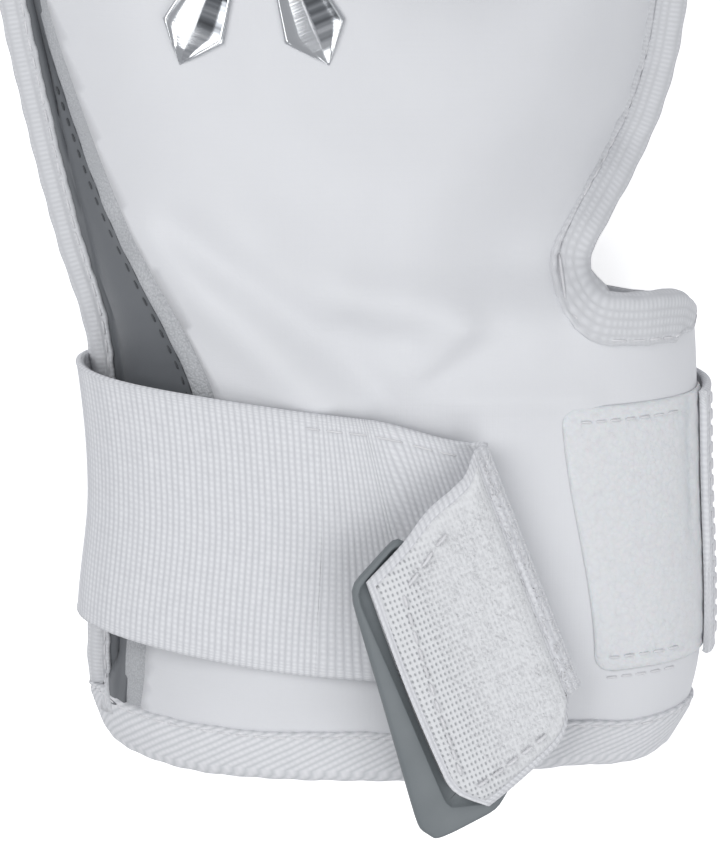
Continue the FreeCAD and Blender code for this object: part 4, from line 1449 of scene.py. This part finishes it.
# ---- wrist strap --------------------------------------------------------------------
def inset_outline(outline: Array, distance: float) -> Array:
    """Closed outline moved inward with as many points, cut across where it would cross itself."""
    run = unit(np.roll(outline, -1, axis=0) - np.roll(outline, 1, axis=0))
    normal = np.stack([-run[:, 1], run[:, 0]], axis=1)
    after = np.roll(outline, -1, axis=0)
    area = np.sum(outline[:, 0] * after[:, 1] - outline[:, 1] * after[:, 0])
    moved = outline + normal * distance * (1 if area > 0 else -1)
    good = np.flatnonzero(gap_to(outline, moved) > distance - 0.15)
    every = np.arange(len(outline))
    return np.stack([np.interp(every, good, moved[good, k], period=len(every)) for k in (0, 1)], axis=1)


def polygon_points(corners: Sequence[Sequence[float]], count: int, smoothing: int) -> Array:
    """Closed polygon with the same number of points on every side and softened corners.

    Args:
        corners: Corners in order.
        count: Points on each side.
        smoothing: How many times neighbours are averaged at the corners.

    Returns:
        Points in order, without repeating the first.
    """
    c = np.array(corners, float)
    t = np.linspace(0, 1, count, endpoint=False)[:, None]
    line = np.vstack([a + (b - a) * t for a, b in zip(c, np.roll(c, -1, axis=0))])
    for _ in range(smoothing):
        line = (np.roll(line, 1, axis=0) + 2 * line + np.roll(line, -1, axis=0)) / 4
    return line


@dataclass
class WristStrap:
    """Elastic strap: sewn on the thumb side, round the palm, over the back, its end folded back."""

    form: MittForm
    finishes: Finishes
    thick: float = 1.6
    gap: float = 0.4
    lift: float = 2.6
    fold_radius: float = 2.6
    flap_lift: float = 16.0
    fold_top: float = 21.0
    fold_low: float = 39.2
    rib: float = 1.5
    columns: int = 30
    # The folded end's selvages, as p against q, and how far it reaches from the fold, as q against v.
    flap_top: tuple[tuple[float, float], ...] = (
        (0, -26.4), (4.0, -22.6), (12.6, -19.6), (19.0, -15.8), (28.4, -11.6))
    flap_low: tuple[tuple[float, float], ...] = (
        (0, 26.4), (2.4, 31.6), (4.4, 34.2), (7.5, 35.8), (13.1, 37.6), (22.6, 40.4))
    flap_end: tuple[tuple[float, float], ...] = (
        (0, 28.4), (0.4, 29.3), (0.78, 29.0), (0.9, 28.0), (1, 22.6))
    width: float = 52.0
    fold_width: float = 52.8
    mid_station: float = 45.0
    root_angle: float = 14.0
    palm_angle: float = -152.0
    side_angle: float = 177.0
    under_angle: float = 208.0
    meet_angle: float = 100.0
    hook_reach: tuple[float, float] = (0.02, 0.955)
    hook_span: tuple[float, float] = (0.035, 0.975)
    hook_length: float = 30.0
    thread: float = 0.28
    hook_count: int = 2600
    fringe_count: int = 600

    def __post_init__(self) -> None:
        """Finds the fold's axis and the directions of the folded end."""
        one, zero = np.array([1.0]), np.array([0.0])
        top = self.front(one, zero)[0][0] + self.front(one, zero)[1][0] * self.thick / 2
        low = self.front(one, one)[0][0] + self.front(one, one)[1][0] * self.thick / 2
        self.along = unit(low - top)
        level = unit(np.array([-self.along[1], self.along[0], 0.0]))
        self.level = level if level[0] < 0 else -level
        up = unit(np.cross(self.along, self.level))
        self.up = up if up[2] > 0 else -up
        self.axis = (top + low) / 2 + self.up * self.fold_radius
        turn = math.radians(self.flap_lift)
        self.back = self.level * math.cos(turn) + self.up * math.sin(turn)
        self.face = self.up * math.cos(turn) - self.level * math.sin(turn)

    def edges(self, x: Array) -> tuple[Array, Array]:
        """Stations of the strap's two selvages at x."""
        t = (x + 55.0) / 98.0
        low = 26.0 - 5.2 * t + 3.4 * (1 - ease((x + 58.0) / 50.0))
        return 81.4 - 9.9 * t - 2.5 * ease((x - 2.0) / 19.0), low

    def stop(self, v: Array) -> Array:
        """Angle round the cuff at which the fold starts."""
        x = self.fold_top + (self.fold_low - self.fold_top) * v
        return ring_angle(self.form, x, np.full(np.shape(v), self.mid_station))

    def rise(self, angle: Array, stop: Array) -> Array:
        """How far the strap lifts off the cuff on its way to the fold."""
        share = np.clip((self.side_angle - angle) / (self.side_angle - stop), 0, 1)
        return self.lift * ease((share - 0.5) / 0.5)

    def front(self, u: Array, v: Array) -> tuple[Array, Array]:
        """Inner face of the strap's front run.

        Args:
            u: 0 at the little-finger side, 1 at the fold.
            v: 0 at the upper selvage, 1 at the lower.

        Returns:
            Points and outward normals.
        """
        stop = self.stop(v)
        angle = self.side_angle + (stop - self.side_angle) * u
        x = cuff_ring(self.form, angle, np.full(np.shape(u), self.mid_station), 0.0)[..., 0]
        high, low = self.edges(x)
        s = high + (low - high) * v
        out = self.gap + self.rise(angle, stop)
        a, b = cuff_ring(self.form, angle, s, out), cuff_ring(self.form, angle, s, out + 1.0)
        return a, unit(b - a)

    def band(self, name: str, middle: Array, normal: Array, caps: bool = True) -> Piece:
        """Elastic band with corded selvages round a middle surface.

        Args:
            name: Name of the piece.
            middle: Array of (row, column, xyz) from the upper selvage to the lower.
            normal: The band's outward normal at each point.
            caps: Whether its ends are closed.

        Returns:
            The closed band.
        """
        columns = middle.shape[1]
        v = np.linspace(0, 1, columns)
        edge = np.minimum(v, 1 - v) * self.width
        half = self.thick / 2 * (0.92 + 0.28 * bell(edge, 0.9, 0.9))
        half = half * np.sqrt(np.clip(edge / 0.8 + 0.05, 0, 1))
        length = lengths(middle[:, columns // 2])
        rib = 0.05 * np.sin(2 * math.pi * length / self.rib)[:, None]
        top = middle + normal * (half[None] + rib)[..., None]
        under = middle - normal * (half[None] + rib)[..., None]
        rings = there_and_back(top, under)
        across = np.concatenate([v, v[::-1]]) * self.width
        uv = np.stack([np.broadcast_to(length[:, None], rings.shape[:2]),
                       np.broadcast_to(across[None], rings.shape[:2])], axis=2)
        return loop_band(name, rings, uv, caps)

    def across(self) -> Array:
        """Column positions, closer together at the selvages."""
        edge = np.array([0.0, 0.008, 0.018, 0.032, 0.05])
        return np.concatenate([edge, np.linspace(0.05, 0.95, self.columns)[1:-1], 1 - edge[::-1]])

    def side_run(self) -> Piece:
        """Strap from the palm round the little-finger side to the middle of the back."""
        angles = np.interp(np.linspace(0, 1, 150), [0, 1], [self.under_angle, self.meet_angle])
        x = cuff_ring(self.form, angles, np.full(len(angles), self.mid_station), 0.0)[:, 0]
        high, low = self.edges(x)
        grid_a, grid_v = np.meshgrid(angles, self.across(), indexing="ij")
        s = high[:, None] + (low - high)[:, None] * grid_v
        out = 0.2 + self.thick / 2 + 0.2 * ease((self.under_angle - grid_a) / 30.0)
        out = out + self.rise(grid_a, self.stop(grid_v)) + 0.12 * ripple_over(grid_a / 2, s, 30.0, 12)
        middle = cuff_ring(self.form, grid_a, s, out)
        normal = unit(cuff_ring(self.form, grid_a, s, out + 1.0) - middle)
        piece = self.band("strap_side_run", middle, normal, False)
        return self.finishes.give(piece, Slot.ELASTIC)

    def local(self, p: Array, q: Array, h: Array) -> Array:
        """Place on the folded end: p along the fold, q away from it, h above its middle."""
        lift = (self.fold_radius + np.asarray(h))[..., None]
        return (self.axis + self.face * lift + self.along * np.asarray(p)[..., None]
                + self.back * np.asarray(q)[..., None])

    def flap_spot(self, b: Array, v: Array) -> tuple[Array, Array]:
        """p and q of the folded end; b runs from the fold to the cut end, v between selvages."""
        p_top = curve_through(self.flap_top, self.flap_top[-1][0] * b)
        p_low = curve_through(self.flap_low, self.flap_low[-1][0] * b)
        q_end = curve_through(self.flap_end, v)
        return p_top + (p_low - p_top) * v - 1.2 * bell(v, 0.86, 0.12) * b**3, q_end * b

    def flap_height(self, b: Array, v: Array) -> Array:
        """Gentle curl of the folded end above its flat plane."""
        crest = 0.9 * bell(v, 0.02, 0.10) * (1 - b) + 0.5 * bell(b, 0.10, 0.07)
        return crest + 0.55 * np.sin(v * 3.3) * b * b + 0.35 * np.sin(b * 5.0 + v * 4.0) * b

    def fold_run(self) -> Piece:
        """Strap from the middle of the back to the fold, round it and back to its cut end."""
        v = self.across()
        stop = self.stop(v)
        rows, normals = [], []
        for t in np.linspace(0, 1, 70):
            angle = self.meet_angle + (stop - self.meet_angle) * t
            point, normal = self.front((self.side_angle - angle) / (self.side_angle - stop), v)
            rows.append(point + normal * self.thick / 2)
            normals.append(normal)
        p = self.fold_width * (v - 0.5)
        for t in np.linspace(0, 1, 15)[1:-1]:
            turn = math.radians(-90 + (180 - self.flap_lift) * t)
            spoke = -self.level * math.cos(turn) + self.up * math.sin(turn)
            bulge = self.fold_radius * (1 + 0.10 * math.sin(math.pi * t))
            rows.append(self.axis + self.along * p[:, None] + spoke * bulge)
            normals.append(np.broadcast_to(-spoke, (len(v), 3)))
        for b in np.linspace(0, 1, 48):
            at_p, at_q = self.flap_spot(np.full(len(v), b), v)
            rows.append(self.local(at_p, at_q, self.flap_height(np.full(len(v), b), v)))
            normals.append(np.broadcast_to(-self.face, (len(v), 3)))
        piece = self.band("strap_fold_run", np.stack(rows), np.stack(normals))
        return self.finishes.give(piece, Slot.ELASTIC, ("strap_front_run", "strap_fold_bend", "strap_end"))

    def palm_run(self) -> Piece:
        """Strap from its sewn root on the thumb side round under the palm."""
        v = self.across()
        angle = np.linspace(self.root_angle, self.palm_angle, 170)
        t = (self.root_angle - angle) / (self.root_angle - self.palm_angle)
        high, low = 76.5 + 4.8 * t, 22.0 + 4.0 * t
        s = high[:, None] + (low - high)[:, None] * v[None]
        step = 1.0 * (1 - ease((angle + 14.0) / -12.0)) + 0.2
        out = (step + self.thick / 2)[:, None] + np.zeros_like(s)
        grid = np.broadcast_to(angle[:, None], s.shape)
        middle = cuff_ring(self.form, grid, s, out)
        normal = unit(cuff_ring(self.form, grid, s, out + 1.0) - middle)
        piece = self.band("strap_palm_run", middle, normal)
        return self.finishes.give(piece, Slot.ELASTIC, ("strap_back_run",))

    def thread_rows(self) -> list[Piece]:
        """Stitches at the strap's root and on its front."""
        s, out = np.arange(25.0, 73.0, 3.4), 1.2 + self.thick + 0.05
        root = stitches("root_thread", [(partial(cuff_ring, self.form, angle, out=out), s, 2.4)
                                        for angle in (10.5, 5.5)], self.thread)
        self.finishes.give(root, Slot.THREAD, ("strap_root_stitching",))
        u = np.arange(0.78, 0.955, 0.034)
        v = np.full(len(u), 0.055)
        begin, out = self.front(u, v)
        finish, _ = self.front(u + 0.024, v)
        over = out * (self.thick + 0.05)
        front = rods("front_thread", begin + over, finish + over, 0.26)
        return [root, self.finishes.give(front, Slot.THREAD)]

    def end_thread(self) -> Piece:
        """Long stitches that hold the hook tape and the tab to the strap's end."""
        def place(at: Array, b: Sequence[float], v: Sequence[float]) -> Array:
            """Points on the hook tape, on a line from the first b and v to the second."""
            grid_b, grid_v = b[0] + (b[1] - b[0]) * at, v[0] + (v[1] - v[0]) * at
            p, q = self.flap_spot(grid_b, grid_v)
            return self.local(p, q, self.flap_height(grid_b, grid_v) + 2.0)

        rows = []
        for b, v, count in (((0.80, 0.90), (0.12, 0.88), 11), ((0.88, 0.22), (0.915, 0.93), 5),
                            ((0.76, 0.34), (0.12, 0.10), 3)):
            t = np.linspace(0.02, 0.98, count, endpoint=False)
            rows.append((partial(place, b=b, v=v), t, 0.70 / count))
        thread = stitches("hook_tape_thread", rows, 0.34, 6, self.face * 0.3)
        return self.finishes.give(thread, Slot.THREAD, ("hook_patch_stitching",))

    def hook_patch(self) -> list[Piece]:
        """Hook tape on the inner face of the strap's end, with its woven border and its hooks."""
        (b_from, b_to), (v_from, v_to) = self.hook_reach, self.hook_span
        grid_b, grid_v = np.meshgrid(np.linspace(b_from, b_to, 42), np.linspace(v_from, v_to, 56),
                                     indexing="ij")
        p, q = self.flap_spot(grid_b, grid_v)
        rim = np.minimum.reduce([(grid_b - b_from) * self.hook_length, (b_to - grid_b) * self.hook_length,
                                 (grid_v - v_from) * self.width, (v_to - grid_v) * self.width])
        lumps = 0.12 * ripple_over(p, q, 5.0, 21)
        bed = self.flap_height(grid_b, grid_v)
        top = (bed + 0.8 + 0.75 * np.sqrt(np.clip(rim / 0.9, 0, 1))
               + ease((rim - 2.6) / 1.2) * (0.3 + 0.6 * lumps))
        rings = there_and_back(self.local(p, q, top), self.local(p, q, bed + 0.75))
        flat = np.stack([p, q], axis=2)
        tape = loop_band("hook_tape", rings, there_and_back(flat, flat))
        self.finishes.give(tape, Slot.HOOK, ("hook_patch",))
        rng = np.random.default_rng(5)
        count = self.hook_count
        b = rng.uniform(0.0, 1.0, count) ** 1.2 * 0.66 + 0.06
        v = rng.uniform(0.07, 0.94, count)
        p, q = self.flap_spot(b, v)
        root = self.local(p, q, self.flap_height(b, v) + 1.9)
        lean = (self.along * rng.normal(0, 0.75, (count, 1)) + self.back * rng.normal(0, 0.75, (count, 1))
                + self.face * rng.uniform(0.5, 1.2, (count, 1)))
        tip = root + lean * rng.uniform(0.2, 0.5, (count, 1))
        bow = self.along * rng.normal(0, 0.25, (count, 1)) + self.back * rng.normal(0, 0.25, (count, 1))
        hooks = rods("nylon_hooks", root, tip, 0.05, 3, bow * 0.4)
        self.finishes.give(hooks, Slot.HOOK, (), "fibre")
        return [tape, hooks, self.fringe()]

    def fringe(self) -> Piece:
        """Loose fibres rubbed up along the crest of the fold."""
        rng = np.random.default_rng(11)
        count = self.fringe_count
        p = rng.uniform(-25.0, 26.5, count)
        turn = np.radians(rng.uniform(20, 88, count))
        spoke = -self.level * np.cos(turn)[:, None] + self.up * np.sin(turn)[:, None]
        root = self.axis + self.along * p[:, None] + spoke * (self.fold_radius + 0.75)
        lean = spoke * rng.uniform(0.3, 1.0, (count, 1)) + self.along * rng.normal(0, 0.7, (count, 1))
        tip = root + lean * rng.uniform(0.4, 1.1, (count, 1))
        fibres = rods("fold_fringe", root, tip, 0.075, 3, self.along * rng.normal(0, 0.4, (count, 1)))
        return self.finishes.give(fibres, Slot.HOOK, (), "fibre")

    def pull_tab(self) -> Piece:
        """Moulded grip sewn under the strap's end, its face stepped down where the strap lies."""
        outer = polygon_points([(-17.2, 19.0), (-11.5, 31.8), (14.0, 34.2), (39.0, 36.6), (42.4, 34.4),
                                (42.0, 21.2), (36.0, 13.0), (0.0, 12.0)], 9, 2)
        step = polygon_points([(-16.0, 19.6), (-10.6, 31.1), (12.0, 30.6), (35.6, 30.2), (37.4, 29.4),
                               (40.2, 21.6), (35.0, 14.0), (0.5, 13.0)], 9, 2)
        floor, top, bed = -3.0, -0.55, -1.15
        loops, cloth = [], []
        for share, grow, height in ((0.0, -6.0, floor), (0.0, -0.9, floor), (0.0, -0.25, floor + 0.3),
                                    (0.0, 0.0, floor + 0.9), (0.0, 0.0, top - 0.55), (0.0, -0.25, top - 0.15),
                                    (0.0, -0.7, top), (0.5, -0.3, top + 0.04), (1.0, 0.15, top),
                                    (1.0, -0.1, top - 0.1), (1.0, -0.35, bed), (1.0, -3.0, bed),
                                    (1.0, -6.0, bed)):
            flat = inset_outline(outer + (step - outer) * share, -grow)
            droop = 1.2 * ease((flat[:, 1] - 29.0) / 10.0) * ease((flat[:, 0] - 5.0) / 30.0)
            loops.append(self.local(flat[:, 0], flat[:, 1], height - droop))
            cloth.append(flat)
        tab = loop_band("pull_tab_grip", np.stack(loops), np.stack(cloth))
        return self.finishes.give(tab, Slot.TAB, ("pull_tab",))

    def loop_patch(self) -> list[Piece]:
        """Loop tape on the thumb side of the back, its crease and its stitches."""
        high, radius = 54.0, 3.6
        v = np.concatenate([np.linspace(0, 0.08, 9)[:-1], np.linspace(0.08, 0.92, 34),
                            np.linspace(0.92, 1, 9)[1:]])
        s = 76.5 - high * v
        to_edge = np.minimum(v, 1 - v) * high
        corner = radius - np.minimum(to_edge, radius)
        left = 40.0 + 6.0 * ease(v) + radius - np.sqrt(np.maximum(radius**2 - corner**2, 0))
        t = np.concatenate([[0.0, 0.012, 0.03, 0.06], np.linspace(0.1, 1.0, 26)])
        begin = ring_angle(self.form, left, np.full(len(v), self.mid_station))
        angle = begin[:, None] + (2.0 - begin[:, None]) * t[None]
        grid_s = np.broadcast_to(s[:, None], angle.shape)
        rim = np.minimum(np.broadcast_to(t[None] * 34.0, angle.shape), to_edge[:, None])
        nap = 0.14 * ripple_over(angle * 0.9, grid_s, 4.0, 31)
        crease = -0.8 * bell(angle, 21.0, 2.2) * ease((grid_s - 38.0) / 20.0)
        top = 0.26 + 0.6 * np.sqrt(np.clip(rim / 1.6, 0, 1)) + (nap + crease) * ease(rim / 2.0)
        for row in (73.6, 25.6):
            top = top - 0.2 * bell(grid_s, row, 0.8)
        upper = cuff_ring(self.form, angle, grid_s, top)
        lower = cuff_ring(self.form, angle, grid_s, 0.12)
        tape = loop_band("loop_tape", there_and_back(upper, lower))
        self.finishes.give(tape, Slot.LOOP, ("loop_patch",))

        def place(x: Array, station: float, lift: float) -> Array:
            """Points over the loop tape at one station."""
            turn = ring_angle(self.form, x, np.full(len(x), self.mid_station))
            return cuff_ring(self.form, turn, np.full(len(x), station), lift)

        rows = [(partial(place, station=station, lift=lift), np.arange(first, 63.0, 2.9), 2.0)
                for station, first, lift in ((73.6, 43.6, 0.86), (25.6, 48.6, 0.86), (21.2, 48.6, 0.08))]
        thread = stitches("loop_tape_thread", rows, self.thread)
        self.finishes.give(thread, Slot.THREAD, ("loop_patch_stitching",))
        return [tape, thread]


@dataclass
class Rosette:
    """Raised chrome-like emblem on the back of the hand: eight blades round an empty middle."""

    form: MittForm
    finishes: Finishes
    centre: tuple[float, float] = (-20.0, 176.0)
    inner: float = 12.0
    outer: float = 37.0
    narrow: float = 2.4
    wide: float = 6.2
    point: float = 7.0
    height: float = 1.25
    count: int = 8

    def blade(self, turn: float, number: int) -> Piece:
        """One blade with a ridge along its middle and a painted reflection: one facet bright, the other dark.
        """
        r = np.concatenate([[self.inner, self.inner + 0.5],
                            np.linspace(self.inner + 1.2, self.outer - 0.6, 34), [self.outer]])
        shoulder = self.outer - self.point
        half = self.narrow + (self.wide - self.narrow) * (r - self.inner) / (shoulder - self.inner)
        half = np.where(r < shoulder, half, self.wide * (self.outer - r) / self.point + 0.05)
        t = np.array([-1.0, -0.97, -0.86, -0.84, -0.5, -0.06, 0.06, 0.5, 0.84, 0.86, 0.97, 1.0])
        shape = np.array([0.0, 0.62, 0.70, 0.60, 0.76, 1.0, 1.0, 0.76, 0.60, 0.70, 0.62, 0.0])
        ends = np.clip(np.minimum(r - self.inner, self.outer - r) / 1.2, 0, 1) ** 0.5
        grow = ends * np.clip(half / 2.4, 0.3, 1)
        side = half[:, None] * t[None]
        c, q = math.cos(turn), math.sin(turn)
        x = self.centre[0] + c * r[:, None] - q * side
        s = self.centre[1] + q * r[:, None] + c * side
        tall = 0.12 + (self.height * shape)[None] * grow[:, None]
        base, out = self.form.point(x, s), self.form.normal(x, s)
        top, low = base + out * tall[..., None], base + out * 0.1
        rings = there_and_back(top, low)
        run = (r - self.inner) / (self.outer - self.inner)
        # Painted reflection: the two facets get bright and dark values, carried in the cloth map to the film.
        shade = np.where(t[None] > 0, 0.25 + 0.5 * run[:, None], 0.98 - 0.2 * run[:, None])
        shade = np.where(np.abs(t[None]) > 0.85, 0.9, shade)
        uv = np.stack([np.broadcast_to(r[:, None] + number * 40, shade.shape), shade * 1000], axis=2)
        return loop_band(f"blade_{number}", rings, there_and_back(uv, uv))

    def build(self) -> Piece:
        """All the blades as one piece."""
        blades = [self.blade(math.radians(22.5 + 360 / self.count * k), k) for k in range(self.count)]
        return self.finishes.give(join("chrome_rosette", blades), Slot.EMBLEM, ("emblem",))


# ---- studio -------------------------------------------------------------------------
@dataclass(frozen=True)
class StudioPaper(Recipe):
    """Matt paper that the camera sees as white and that still takes the mitt's shadow."""

    name: str = "studio_paper"
    colour: str = "#f6f6f7"
    glow: float = 0.62

    def paint(self, tree: Tree) -> Node:
        """Adds a glow that only the camera sees."""
        paper = node(tree, "ShaderNodeBsdfDiffuse", {"Color": linear(self.colour)})
        seen = node(tree, "ShaderNodeLightPath").outputs["Is Camera Ray"]
        share = node(tree, "ShaderNodeMath", {0: seen, 1: self.glow}, operation="MULTIPLY")
        glow = node(tree, "ShaderNodeEmission", {"Color": (1, 1, 1, 1), "Strength": share.outputs[0]})
        return node(tree, "ShaderNodeAddShader", {0: paper.outputs[0], 1: glow.outputs[0]})


@dataclass
class Studio:
    """White sweep, camera over the wrist end, and large soft lamps."""

    tilt: float = 14.0
    distance: float = 631.5
    target: tuple[float, float, float] = (0.0, -81.7, 25.0)
    lens: float = 135.0
    floor_span: float = 3000.0

    def aim(self, place: Sequence[float], at: Sequence[float], up: Sequence[float] = (0, 0, 1)) -> Matrix:
        """World matrix of a lamp or camera that looks from a place at a point, in millimetres."""
        back = (Vector(place) - Vector(at)).normalized()
        right = Vector(up).cross(back).normalized()
        top = back.cross(right)
        matrix = Matrix((right, top, back)).transposed().to_4x4()
        matrix.translation = Vector(place) * MM
        return matrix

    def camera(self) -> None:
        """Creates the camera."""
        lens = bpy.data.cameras.new("camera")
        lens.sensor_fit = "VERTICAL"
        lens.sensor_height = 36.0
        lens.lens = self.lens
        lens.clip_end = 10.0
        holder = bpy.data.objects.new("camera", lens)
        bpy.context.scene.collection.objects.link(holder)
        turn = math.radians(self.tilt)
        back = Vector((0.0, math.sin(turn), math.cos(turn)))
        place = Vector(self.target) + back * self.distance
        holder.matrix_world = self.aim(place, self.target, (0, 1, 0))
        bpy.context.scene.camera = holder
        bpy.context.scene.view_settings.view_transform = "Standard"

    def lamp(self, name: str, place: Sequence[float], size: Sequence[float], power: float) -> None:
        """Adds a rectangular soft lamp aimed at the mitt."""
        light = bpy.data.lights.new(name, "AREA")
        light.shape = "RECTANGLE"
        light.size, light.size_y = size[0] * MM, size[1] * MM
        light.energy = power
        holder = bpy.data.objects.new(name, light)
        bpy.context.scene.collection.objects.link(holder)
        holder.matrix_world = self.aim(place, (0, -40, 20), (0, 1, 0.2))

    def floor(self) -> None:
        """Pale floor: white where the camera sees it, plain where it lights or shades."""
        half = self.floor_span / 2
        corners = np.array([(-half, -half, 0), (half, -half, 0), (half, half, 0), (-half, half, 0)], float)
        floor = add_mesh("studio_floor", corners, [(0, 1, 2, 3)], smooth=False)
        floor.data.materials.append(StudioPaper().material())

    def world(self) -> None:
        """Soft even light from all round, and white behind the camera's view."""
        world = bpy.data.worlds.new("studio_air")
        world.use_nodes = True
        tree = world.node_tree
        tree.nodes.clear()
        path = node(tree, "ShaderNodeLightPath")
        soft = node(tree, "ShaderNodeBackground", {"Color": linear("#eceef2"), "Strength": 0.56})
        bright = node(tree, "ShaderNodeBackground", {"Color": (1, 1, 1, 1), "Strength": 1.0})
        seen = node(tree, "ShaderNodeMath", {
            0: path.outputs["Is Camera Ray"], 1: path.outputs["Is Transmission Ray"]}, operation="MAXIMUM")
        mix = node(tree, "ShaderNodeMixShader", {
            0: seen.outputs[0], 1: soft.outputs[0], 2: bright.outputs[0]})
        node(tree, "ShaderNodeOutputWorld", {"Surface": mix.outputs[0]})
        bpy.context.scene.world = world

    def build(self) -> None:
        """Creates the whole studio."""
        self.camera()
        self.floor()
        self.world()
        self.lamp("key_softbox", (-420, 260, 700), (520, 520), 3.0)
        self.lamp("fill_softbox", (330, -300, 620), (560, 520), 1.75)


# ---- assembly -----------------------------------------------------------------------
WRIST_BEND = ((0.0, -0.060, 0.020), (0.0, -0.044, 0.020))
SIDE_BEND = ((-0.056, -0.1, 0.012), (-0.056, -0.1, 0.028))


def dress_plate(finishes: Finishes) -> None:
    """Gives the hidden insert plates their moulded plastic."""
    for name in ("back_insert_plate", "palm_insert_plate"):
        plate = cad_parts[name]
        plate.data.materials.clear()
        plate.data.materials.append(finishes.made[Slot.PLATE])
        LOG.info("%s: dressed", name)


def ride_all(pieces: Iterable[Piece], body: Body) -> None:
    """Makes pieces move with one body."""
    for piece in pieces:
        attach(piece, body.value)
        LOG.info("%s rides on %s", piece.name, body.value)


def bend_all(pieces: Iterable[Piece], first: Body, second: Body,
             start: Sequence[float], end: Sequence[float]) -> None:
    """Bakes each piece's transform into its mesh and logs the bodies it lies between."""
    for piece in pieces:
        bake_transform(piece)
        LOG.info("%s bends from %s to %s", piece.name, first.value, second.value)


def main() -> None:
    """Builds the mitt piece by piece and its studio."""
    logging.basicConfig(level=logging.INFO, format="%(name)s %(message)s")
    finishes = Finishes().build()
    form = MittForm()
    panels = ShellPanels(form, finishes)
    bindings = Bindings(form, panels, finishes)
    strap = WristStrap(form, finishes)

    edge = bindings.mitt_tape()
    across = [panels.build_back(), panels.build_palm(), *panels.build_gusset(), *edge]
    bend_all(across, Body.CUFF, Body.HAND, *WRIST_BEND)
    ride_all([panels.build_lining(), Rosette(form, finishes).build()], Body.HAND)
    ride_all([*bindings.hem_tape(), bindings.cuff_sleeve(), bindings.palm_lip_tape()], Body.CUFF)

    root, front = strap.thread_rows()
    tape, hooks, fringe = strap.hook_patch()
    ride_all([strap.palm_run(), root, *strap.loop_patch()], Body.CUFF)
    bend_all([strap.side_run()], Body.CUFF, Body.STRAP, *SIDE_BEND)
    ride_all([front], Body.STRAP)
    fold_start = (strap.axis - strap.up * strap.fold_radius) * MM
    fold_end = (strap.axis + strap.face * strap.fold_radius) * MM
    bend_all([strap.fold_run(), fringe], Body.STRAP, Body.STRAP_END, fold_start, fold_end)
    ride_all([strap.end_thread(), tape, hooks, strap.pull_tab()], Body.STRAP_END)
    dress_plate(finishes)
    Studio().build()


if __name__ == "__main__":
    main()
